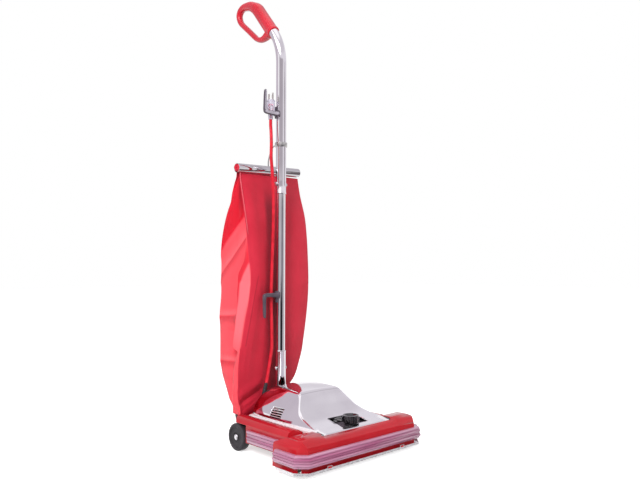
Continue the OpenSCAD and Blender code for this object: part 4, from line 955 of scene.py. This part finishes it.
mouth = on_bend(tilt)
lip = [(663.1, 29.2), (663.6, 30.4), (664.6, 30.7), (665.8, 30.2)]
upper_girth = 28.6
run = [Vector((0, tube_back, z)) for z in (667, 700, 800, 900, 980)]
run += [on_bend(tilt * k / 16) for k in range(17)] + [mouth + lead * 49]
bm = bmesh.new()
swept(bm, [(Vector((0, tube_back, z)), girth, girth) for z, girth in lip]
      + [(p, upper_girth, upper_girth) for p in run], sides=56)
upper = make_piece("upper_pipe", bm, plate, "handle", smooth=50)
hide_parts("upper_tube")

# carriage bolts through the joints, with low domed heads
bolt_profile = [(0, 20.2), (2.4, 19.8), (4.4, 18.7), (5.4, 17.2), (5.5, 16.2), (3, 15.8), (3, 0),
                (0, 0)]
bm = bmesh.new()
for z in (186, 690):
    for side in (-1, 1):
        turned(bm, bolt_profile, (0, tube_back, z), axis=(side, 0, 0), across=(0, 1, 0), steps=28)
bolts = make_piece("joint_bolts", bm, plate, "handle", smooth=50)
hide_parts("tube_bolts")

# ---- Hand grip ----
# Glossy red moulding: a thick bar over the tube, and a thinner guard rail that leaves its
# top, turns round behind the hand and comes back to the mouth.
def grip_point(u, v):
    """u along the bar from its mouth, v towards the rear."""
    start = mouth + lead * 6
    return start + Vector((0, u * math.sin(tilt) + v * math.cos(tilt),
                           u * math.cos(tilt) - v * math.sin(tilt)))


def settle(piece):
    """Makes a piece's modifiers part of its mesh."""
    bpy.context.view_layer.update()
    shaped = piece.evaluated_get(bpy.context.evaluated_depsgraph_get())
    mesh = bpy.data.meshes.new_from_object(shaped)
    piece.modifiers.clear()
    piece.data = mesh


gloss_red = new_finish("gloss_red_moulding", (0.52, 0.006, 0.020), 0.20, Coat_Weight=0.3,
                       Coat_Roughness=0.05)
cloud = mottling(gloss_red, 16)
tint(gloss_red, cloud, (0.48, 0.005, 0.017), (0.56, 0.009, 0.025))
dull(gloss_red, mottling(gloss_red, 60), 0.16, 0.26)
# the rail: its place along the bar and behind it, its width and its thickness
loop = [(104, 3, 33, 34), (126, 7, 32, 32), (146, 15, 28, 28), (163, 28, 24, 24), (175, 40, 21, 21),
        (180, 55, 20, 19), (174, 69, 19, 18), (157, 76, 18, 17), (138, 76, 17, 16),
        (100, 69, 17, 16), (60, 62, 17, 16), (42, 58, 17, 15), (26, 49, 18, 16), (16, 36, 21, 18),
        (11, 22, 24, 22), (10, 8, 24, 22)]
overlapped = loop[-2:] + loop + loop[:2]
rail, rail_size = (curved([Vector((q[i], q[i + 1], 0)) for q in overlapped], 4)[8:-9]
                   for i in (0, 2))
bm = bmesh.new()
swept(bm, [(grip_point(p.x, p.y), w.x, w.y) for p, w in zip(rail, rail_size)], sides=24,
      square=2.5, closed=True)
bar = [(-6, 31.6), (-5.4, 33.4), (-4.2, 34.4), (3, 34.4), (4.2, 33.4), (5, 32.5), (60, 32.6),
       (104, 33), (114, 31), (118, 24)]
swept(bm, [(grip_point(u, 0), d, d) for u, d in bar], sides=32, square=2.3)
grip = make_piece("hand_grip", bm, gloss_red, None, smooth=60)
skin = grip.modifiers.new("one_moulding", "REMESH")
skin.mode, skin.voxel_size, skin.use_smooth_shade = "VOXEL", 0.9 * mm, True
ease_off = grip.modifiers.new("flow", "SMOOTH")
ease_off.factor, ease_off.iterations = 0.6, 14
settle(grip)
grip.data.materials.clear()
grip.data.materials.append(gloss_red)
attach(grip, "handle")
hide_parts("grip")

# ---- Cord hooks ----
# Dark moulded hooks, screwed to the tube's left side. The upper one's tip points up and
# the lower one's down, and both taper to a rounded end.
hook_moulding = new_finish("hook_moulding", (0.075, 0.060, 0.080), 0.4)
tint(hook_moulding, mottling(hook_moulding, 40), (0.066, 0.052, 0.070), (0.088, 0.072, 0.094))
relief(hook_moulding, mottling(hook_moulding, 700, 2), 0.0001)
# the front of the upper one is painted pale: a painted highlight
overlay(hook_moulding, all_of(hook_moulding, (parts_of(hook_moulding, "Normal")[1], -0.80, -0.92),
                              (distances(hook_moulding)[2], 700, 710)), (0.36, 0.33, 0.38))


def hook(name, height, radius, way, node):
    """A hook on a tube of a radius, whose tip points up (way 1) or down (way -1)."""
    bm = bmesh.new()
    # the arm: across, back and up from the tube's middle, then its width and thickness
    arm = [(-radius - 0.5, -2, 2, 22, 20), (-radius - 6, -2, 1.5, 17, 15), (-30, -3, 1, 12, 11.5),
           (-48, -5, 0.5, 10.5, 11), (-57, -5, 1.5, 10.5, 11), (-59.5, -5, 6.5, 10.5, 9.5),
           (-60, -5, 16, 9.6, 8), (-59.6, -5, 40, 9, 7.4), (-59, -5, 56, 8.2, 6.2),
           (-58.8, -5, 60.6, 6.6, 4.6), (-58.7, -5, 61.9, 3.6, 2.4)]
    line = curved([(x, tube_back + y, height + way * z) for x, y, z, w, t in arm], 3)
    size = curved([(w, t, 0) for x, y, z, w, t in arm], 3)
    swept(bm, [(p, s.x, s.y) for p, s in zip(line, size)], sides=20, square=3.4, side_dir=(0, 1, 0))
    # the saddle: a shell round the tube's left side
    inner = radius + 0.1
    rounds = [(inner, -10), (radius + 3.6, -10), (radius + 4, -9), (radius + 4, 21),
              (radius + 3.2, 22), (inner, 22), (inner, -10)]
    saddle = bmesh.new()
    turned(saddle, [(r, way * a) for r, a in rounds], (0, tube_back, height), steps=64)
    for normal, spot in (((1, 0, 0), (-radius * 0.5, 0, 0)),
                         ((0, 1, 0), (0, tube_back + radius * 0.6, 0)),
                         ((0, -1, 0), (0, tube_back - radius * 0.5, 0))):
        everything = saddle.verts[:] + saddle.edges[:] + saddle.faces[:]
        cut = bmesh.ops.bisect_plane(saddle, geom=everything, plane_co=place(*spot),
                                     plane_no=normal, clear_outer=True)
        rim = [g for g in cut["geom_cut"] if isinstance(g, bmesh.types.BMEdge)]
        bmesh.ops.holes_fill(saddle, edges=rim, sides=0)
    extra = bpy.data.meshes.new("saddle")
    saddle.to_mesh(extra)
    saddle.free()
    bm.from_mesh(extra)
    bpy.data.meshes.remove(extra)
    piece = make_piece(name, bm, hook_moulding, "handle", bevel=0.6, smooth=45)
    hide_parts(node)


hook("cord_hook_upper", 883, 14.3, 1, "upper_hook")
hook("cord_hook_lower", 386, 12.7, -1, "lower_hook")

# ---- Clamp bar and hanger ----
# Chromed tube, slit along one side, which slides over the rolled top of the bag, and a bent
# wire that hangs it on a clip round the upper tube.
slope = math.radians(2)
bar_middle, bar_half, bar_radius = Vector((0, 375, 735)), 109, 13
bar_axis = Vector((math.cos(slope), 0, math.sin(slope)))
bar_up = Vector((-math.sin(slope), 0, math.cos(slope)))


def drawn_out(bm, curve, half):
    """A curve of (radius, angle) about the bar's middle line, drawn out to both sides of it."""
    start = bar_middle - bar_axis * half
    points = [bm.verts.new(place(*(start + Vector((0, 1, 0)) * (radius * math.cos(angle))
                                   + bar_up * (radius * math.sin(angle)))))
              for radius, angle in curve]
    lines = [bm.edges.new(pair) for pair in zip(points, points[1:])]
    moved = [g for g in bmesh.ops.extrude_edge_only(bm, edges=lines)["geom"]
             if isinstance(g, bmesh.types.BMVert)]
    bmesh.ops.translate(bm, verts=moved, vec=bar_axis * 2 * half * mm)


bm = bmesh.new()
drawn_out(bm, [(bar_radius, math.radians(-70 + 8 * k)) for k in range(41)], bar_half)
face_outwards(bm, bar_middle)
# its chrome is made darker than the other tubes': painted shade for the darker room that it
# reflects
clamp = make_piece("clamp_bar", bm, chrome(0.74), "handle", smooth=50, clean=False)
wall = clamp.modifiers.new("wall", "SOLIDIFY")
wall.thickness, wall.offset = 1.5 * mm, -1
soften(clamp, 0.4)
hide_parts("bag_bar")
clip_high, wire_thick = 800, 4
wire = curved([(0, 336.1, clip_high), (0, 342.5, 803), (0, 358.5, 796), (0, 369, 778),
               (0, 375, 760), (0, 375, 748.2)], 5)
bm = bmesh.new()
swept(bm, [(p, wire_thick, wire_thick) for p in wire], sides=14)
turned(bm, [(14.4, -6), (17, -6), (17.3, -5), (17.3, 5), (17, 6), (14.4, 6), (14.4, -6)],
       (0, tube_back, clip_high), steps=56)
hanger = make_piece("bar_hanger", bm, zinc, "handle", bevel=0.3)
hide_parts("bag_hanger")

# ---- Dust bag ----
# Cloth bag of coated twill: a flat front panel, gussets folded inwards at both sides, a top
# that is rolled into the clamp bar, and a foot gathered round the exhaust bend.

# its outline by height: both edges across, its front and rear, and how far the rear corner swells
left_edge = [(68, -119), (90, -119), (112, -124), (160, -121), (211, -117), (315, -100), (380, -88),
             (438, -84), (521, -88), (620, -97), (711, -100), (726, -99)]
right_edge = [(68, -65), (90, -63), (112, -10), (134, 55), (200, 93), (259, 107), (365, 122),
              (482, 125), (599, 121), (711, 106), (726, 104)]
front_face = [(68, 336), (90, 337), (134, 342), (200, 342), (438, 340), (600, 352), (711, 372.5),
              (726, 372.5)]
rear_face = [(68, 393), (90, 394), (112, 412), (183, 445), (318, 462), (437, 467), (566, 450),
             (698, 386), (711, 381.5), (726, 381.5)]
stand_out = [(68, 0), (134, 0), (200, 3), (284, 12), (355, 21), (500, 27), (582, 21), (658, 15),
             (690, 7), (711, 0)]
# the left gusset: how far its front half swells past the seam, and how deep it folds in behind
swell_out = [(72, 5), (100, 17), (125, 14), (185, 14), (231, 10), (238, 12), (247, 26), (295, 28),
             (320, 29), (360, 33), (400, 38), (440, 37), (462, 27), (480, 18), (507, 14), (535, 8),
             (553, 3), (570, 0)]
fold_in = [(72, 2), (100, 6), (150, 10), (231, 13), (247, 27), (285, 27), (308, 16), (322, 7),
           (335, 14), (360, 25), (440, 32), (480, 25), (507, 20), (553, 20), (600, 24), (650, 20),
           (690, 8), (715, 0)]


def bag_outline(z):
    """Corners of the outline at a height, from the left seam round the back to the right seam."""
    l, r = along(left_edge, z), along(right_edge, z)
    f, b = along(front_face, z), along(rear_face, z)
    c, g = min(14, (b - f) / 4, (r - l) / 5), along(stand_out, z)
    seam, rear = Vector((l + 1, f + 1)), Vector((l + c * 0.6 - g * 0.5, b - c + g * 0.9))
    puff = seam + Vector((-0.62, 0.8)) * min(along(swell_out, z), (rear.y - seam.y) * 0.45)
    fold = puff + Vector((along(fold_in, z), min(22, 0.3 * (rear.y - puff.y))))
    flank = fold.lerp(rear, 0.5) - Vector((5, 1.5)) * min(1, (b - f) / 60)
    pleat = min(14, (b - f) / 5)
    return [seam, puff, fold, flank, rear, Vector((l + 2 * c - g * 0.3, b + g * 0.7)),
            Vector((r - 2 * c, b)), Vector((r - c * 0.3, b - c)), Vector((r - pleat, (f + b) / 2)),
            Vector((r - 1, f + 1))]


def corner_bend(points, k, t, crisp):
    """A point on the outline between corner k and the next, rounded by its neighbours."""
    a, b, c, d = (points[(k + j) % len(points)] for j in (-1, 0, 1, 2))
    return spline(a, b, c, d, t).lerp(b.lerp(c, t), crisp)


def valley(distance, above, below):
    """A sharp crease with slopes of their own width above and below it."""
    return -math.exp(-distance / above) if distance > 0 else -math.exp(distance / below)


def ridge(distance, width):
    """A soft rise with slopes of one width to both sides."""
    return math.exp(-(distance / width) ** 2)


# points from each corner to the next, and how straight the cloth runs between them
shares = [10, 8, 12, 8, 5, 14, 5, 10, 10, 46]
crisp = [0.75, 0.5, 0.6, 0.2, 0.3, 0.2, 0.3, 0.4, 0.6, 1.0]
around, levels = sum(shares), 130
foot_z, top_z, taper_z = 72.5, 722, 715
# the gusset's slanting creases: height at the fold, fall to the rear, depth, reach above, below
creases = ((644, 112, 16, 44, 20), (565, 112, 18, 44, 20), (330, 8, 14, 30, 14),
           (206, 4, 12, 28, 14), (150, -12, 5, 12, 8))
cloth_map = {}
bm = bmesh.new()
bmesh.ops.create_cone(bm, segments=around, radius1=1, radius2=1, depth=2, cap_ends=False)
upright = [e for e in bm.edges if abs(e.verts[0].co.z - e.verts[1].co.z) > 1]
bmesh.ops.subdivide_edges(bm, edges=upright, cuts=levels - 1, use_grid_fill=True)
for v in bm.verts:
    index = round((math.atan2(v.co.y, v.co.x) % math.tau) / math.tau * around) % around
    z = foot_z + (top_z - foot_z) * (v.co.z + 1) / 2
    corners = bag_outline(z)
    k, rest = 0, index
    while rest >= shares[k]:
        rest -= shares[k]
        k += 1
    t = rest / shares[k]
    spot = corner_bend(corners, k, t, crisp[k])
    taper = share((taper_z - z) / 60)
    drift = noise.noise(Vector((spot.x * 0.012, spot.y * 0.014, z * 0.011)))
    if k in (2, 3, 4):
        # the rear half of the gusset
        s = (k - 2 + t) / 2
        press = sum(depth * valley(z - high + fall * s, above, below)
                    for high, fall, depth, above, below in creases)
        press *= min(1, 0.35 + 1.6 * s) * (1 - 0.6 * s ** 3) * taper
        spot += Vector((-0.96, -0.27)) * (press + drift * 3 * taper)
    elif k in (0, 1):
        # its front half, with two small creases
        press = (drift * 2.0 + 1.8 * valley(z - 410 - 20 * t, 10, 8)
                 + 2.2 * valley(z - 150 + 20 * t, 10, 8))
        middle = math.sin(math.pi * min(1, (k + t) / 1.6))
        spot += Vector((-0.8, -0.6)) * press * middle * taper
    elif k == 9:
        # the front panel: fuller beside the tube and at its right, with a pressed line inside
        # the left seam and a gathered foot
        from_seam, to_seam = spot.x - corners[0].x, corners[9].x - spot.x
        full = 5.5 * ridge(from_seam - 24, 20) * share((z - 130) / 120) * taper
        full += 3.0 * ridge(to_seam - 34, 26) * taper
        full -= 1.3 * ridge(from_seam - 21, 2.6) * share((440 - z) / 60) * share((z - 160) / 40)
        run = z - 97 - 0.43 * (spot.x + 120)
        gather = 8 * valley(run, 12, 7) + 4.5 * ridge(run - 24, 15)
        full += gather * share((-35 - spot.x) / 30 + 0.2)
        full += 4 * valley(run + 15, 5, 5) * share((-60 - spot.x) / 30 + 0.3)
        full *= min(1, from_seam / 9) * min(1, to_seam / 9)
        spot += Vector((0, -1)) * (full + drift * 1.2)
    else:
        # the back and the right side, with gathers round the foot
        spot += (spot - Vector((20, 400))).normalized() * drift * 2.5 * taper
        if z < 150:
            gather = 3 * math.sin(index * 0.55) * ridge(z - 105, 30)
            spot += (spot - Vector((-60, 380))).normalized() * gather
    cloth_map[v] = (index, z)
    v.co = place(spot.x, spot.y, z)
face_outwards(bm, (10, 400, 400))
mapped = bm.loops.layers.uv.new("cloth")
point_gap = 5           # cloth between two points round the bag
for face in bm.faces:
    places = [cloth_map[corner.vert][0] for corner in face.loops]
    wraps = max(places) - min(places) > around / 2
    for corner in face.loops:
        index, z = cloth_map[corner.vert]
        if wraps and index < around / 2:
            index += around
        corner[mapped].uv = (index * point_gap * mm, z * mm)


def bag_cloth():
    finish = new_finish("bag_twill", (0.62, 0.020, 0.045), 0.56, Sheen_Weight=0.08,
                        Sheen_Roughness=0.4, Sheen_Tint=(1.0, 0.45, 0.5, 1))
    cloud = mottling(finish, 11, 4)
    tint(finish, cloud, (0.56, 0.011, 0.034), (0.64, 0.018, 0.046), 0.3, 0.7)
    dull(finish, mottling(finish, 40), 0.50, 0.62)
    relief(finish, mottling(finish, 45, 4), 0.0010, 0.4)
    tree = finish.node_tree
    weave_map = tree.nodes.new("ShaderNodeUVMap")
    weave_map.uv_map = "cloth"
    for turn in ("X", "Y"):
        yarn = tree.nodes.new("ShaderNodeTexWave")
        yarn.wave_type, yarn.bands_direction = "BANDS", turn
        yarn.inputs["Scale"].default_value = 400
        yarn.inputs["Distortion"].default_value = 0.4
        tree.links.new(weave_map.outputs["UV"], yarn.inputs["Vector"])
        relief(finish, yarn.outputs["Fac"], 0.00012)
    return finish


twill = bag_cloth()
bag_twill_painted_light = bag_cloth()
lit_red, shadow_red = (0.98, 0.19, 0.22), (0.52, 0.004, 0.022)
across, behind_seam, high = distances(bag_twill_painted_light, either_side=False, kept="sewn_place")
faced = parts_of(bag_twill_painted_light, "Normal", kept="sewn_facing")

# painted light and shade: the gusset, which faces the light, is painted brighter the lower it is,
# and its top triangle is painted deep red as painted shade down to the first fold
gusset = rises(bag_twill_painted_light, faced[0], -0.42, -0.62)
overlay(bag_twill_painted_light, all_of(bag_twill_painted_light, gusset, (high, 700, 560)), (0.92, 0.075, 0.10))


def over_fold(fall, level):
    """How far a point of the gusset is above a fold that falls towards the rear, in mm."""
    behind = calculated(bag_twill_painted_light, "SUBTRACT", behind_seam, 360)
    drop = calculated(bag_twill_painted_light, "MULTIPLY", behind, fall)
    return calculated(bag_twill_painted_light, "SUBTRACT", calculated(bag_twill_painted_light, "ADD", high, drop), level)


overlay(bag_twill_painted_light, all_of(bag_twill_painted_light, gusset, (over_fold(1.14, 644), -14, 4)),
        (0.70, 0.001, 0.020))

# below each fold lies a shadow, and the cloth above it catches the light
gusset_depth = 110
for level, fall, shadow, lit in ((565, 112, 40, 44), (330, 8, 26, 26), (206, 4, 22, 22)):
    above = over_fold(fall / gusset_depth, level)
    rear_half = (behind_seam, 362, 372) if level < 400 else (behind_seam, 300, 301)
    overlay(bag_twill_painted_light, all_of(bag_twill_painted_light, gusset, (above, -shadow, -1), (above, 3, -1), rear_half),
            shadow_red, 0.6)
    overlay(bag_twill_painted_light, all_of(bag_twill_painted_light, gusset, (above, 1, 7), (above, lit, 7), rear_half),
            lit_red, 0.5)

# the front half of the gusset stands out past the rest: painted shade behind its edge, and painted
# light on its front
panel_edge = calculated(bag_twill_painted_light, "MINIMUM", 366, calculated(
    bag_twill_painted_light, "SUBTRACT", 533, calculated(bag_twill_painted_light, "MULTIPLY", high, 0.4)))
past_edge = calculated(bag_twill_painted_light, "SUBTRACT", behind_seam, panel_edge)
overlay(bag_twill_painted_light, all_of(bag_twill_painted_light, gusset, (past_edge, -3, 3), (past_edge, 34, 10),
                           (high, 205, 240), (high, 560, 530)), (0.66, 0.002, 0.020), 0.85)
overlay(bag_twill_painted_light, all_of(bag_twill_painted_light, gusset, (past_edge, 3, -3), (high, 200, 300),
                           (high, 560, 530)), lit_red, 0.6)

# the tube's shadow is painted on the front panel, and a line pressed into it beside the left seam
# is painted darker, as painted shade
front = rises(bag_twill_painted_light, faced[1], -0.55, -0.75)
overlay(bag_twill_painted_light, all_of(bag_twill_painted_light, front, (across, -31, -17), (across, 26, 14),
                           (high, 150, 190), (high, 700, 620)), (0.17, 0.003, 0.014), 0.8)
inner = calculated(bag_twill_painted_light, "ADD", across, calculated(
    bag_twill_painted_light, "SUBTRACT", 153.3, calculated(bag_twill_painted_light, "MULTIPLY", high, 0.2075)))
overlay(bag_twill_painted_light, all_of(bag_twill_painted_light, front, (inner, -2, -0.6), (inner, 2, 0.6),
                           (high, 246, 252), (high, 440, 434)), (0.30, 0.003, 0.014), 0.55)

# painted shade gathers where it is folded in
hollow = bag_twill_painted_light.node_tree.nodes.new("ShaderNodeAmbientOcclusion")
hollow.samples = 8
hollow.inputs["Distance"].default_value = 35 * mm
overlay(bag_twill_painted_light, rises(bag_twill_painted_light, hollow.outputs["AO"], 0.86, 0.40), (0.26, 0.002, 0.014))
bag = make_piece("cloth_bag", bm, bag_twill_painted_light, None, smooth=180, clean=False)
layer = bag.modifiers.new("rounder", "SUBSURF")
layer.levels = layer.render_levels = 1
settle(bag)
# each point keeps its place and the way it faces as sewn, so that the colours follow the cloth
for kept, values in (("sewn_place", [n for v in bag.data.vertices for n in v.co]),
                     ("sewn_facing", [n for v in bag.data.vertices for n in v.normal])):
    bag.data.attributes.new(kept, "FLOAT_VECTOR", "POINT").data.foreach_set("vector", values)
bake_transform(bag)
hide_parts("bag", "bag_neck")

# piping that is sewn along the upper part of the left seam
bm = bmesh.new()
sewn_in = [(548, 0.6), (560, 1.8)] + [(575 + 14.5 * k, 2.6) for k in range(11)]
swept(bm, [((along(left_edge, z) + 0.6, along(front_face, z) + 0.2, z), w, w) for z, w in sewn_in],
      sides=8)
piping_cord = new_finish("piping_cord", (0.70, 0.10, 0.13), 0.5)
tint(piping_cord, mottling(piping_cord, 300), (0.64, 0.08, 0.11), (0.74, 0.13, 0.16))
make_piece("seam_piping", bm, piping_cord, "handle", smooth=60)

# the roll inside the bar, whose curled ends show
bm = bmesh.new()
drawn_out(bm, [(11.2 - 0.9 * k / 4.0, math.radians(30 * k)) for k in range(36)], bar_half + 1.5)
roll = make_piece("bag_roll", bm, twill, "handle", smooth=60)
wall = roll.modifiers.new("cloth", "SOLIDIFY")
wall.thickness, wall.offset = 0.9 * mm, 0

# ---- Release pedal ----
# Black rocker behind the hood that frees the handle. It turns on a steel pin, with a coil
# spring under its rear that pushes it back up.
copied("foot_pedal", "release_pedal", black, "pedal", bevel=0.7)
dress(steel, "pedal_pin")
spring_back, spring_out, spring_foot, spring_rise = 320, 86, 67.7, 9.2
coil_radius, wire_thick, steps = 3.4, 0.9, 70
coil = [Vector((spring_out + coil_radius * math.cos(k / 2),
                spring_back + coil_radius * math.sin(k / 2), spring_foot + spring_rise * k / steps))
        for k in range(steps + 1)]
bm = bmesh.new()
swept(bm, [(p, wire_thick, wire_thick) for p in coil], sides=8, side_dir=(0, 0, 1))
spring = make_piece("return_spring", bm, steel, None, smooth=60)
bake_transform(spring)
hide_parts("pedal_spring")
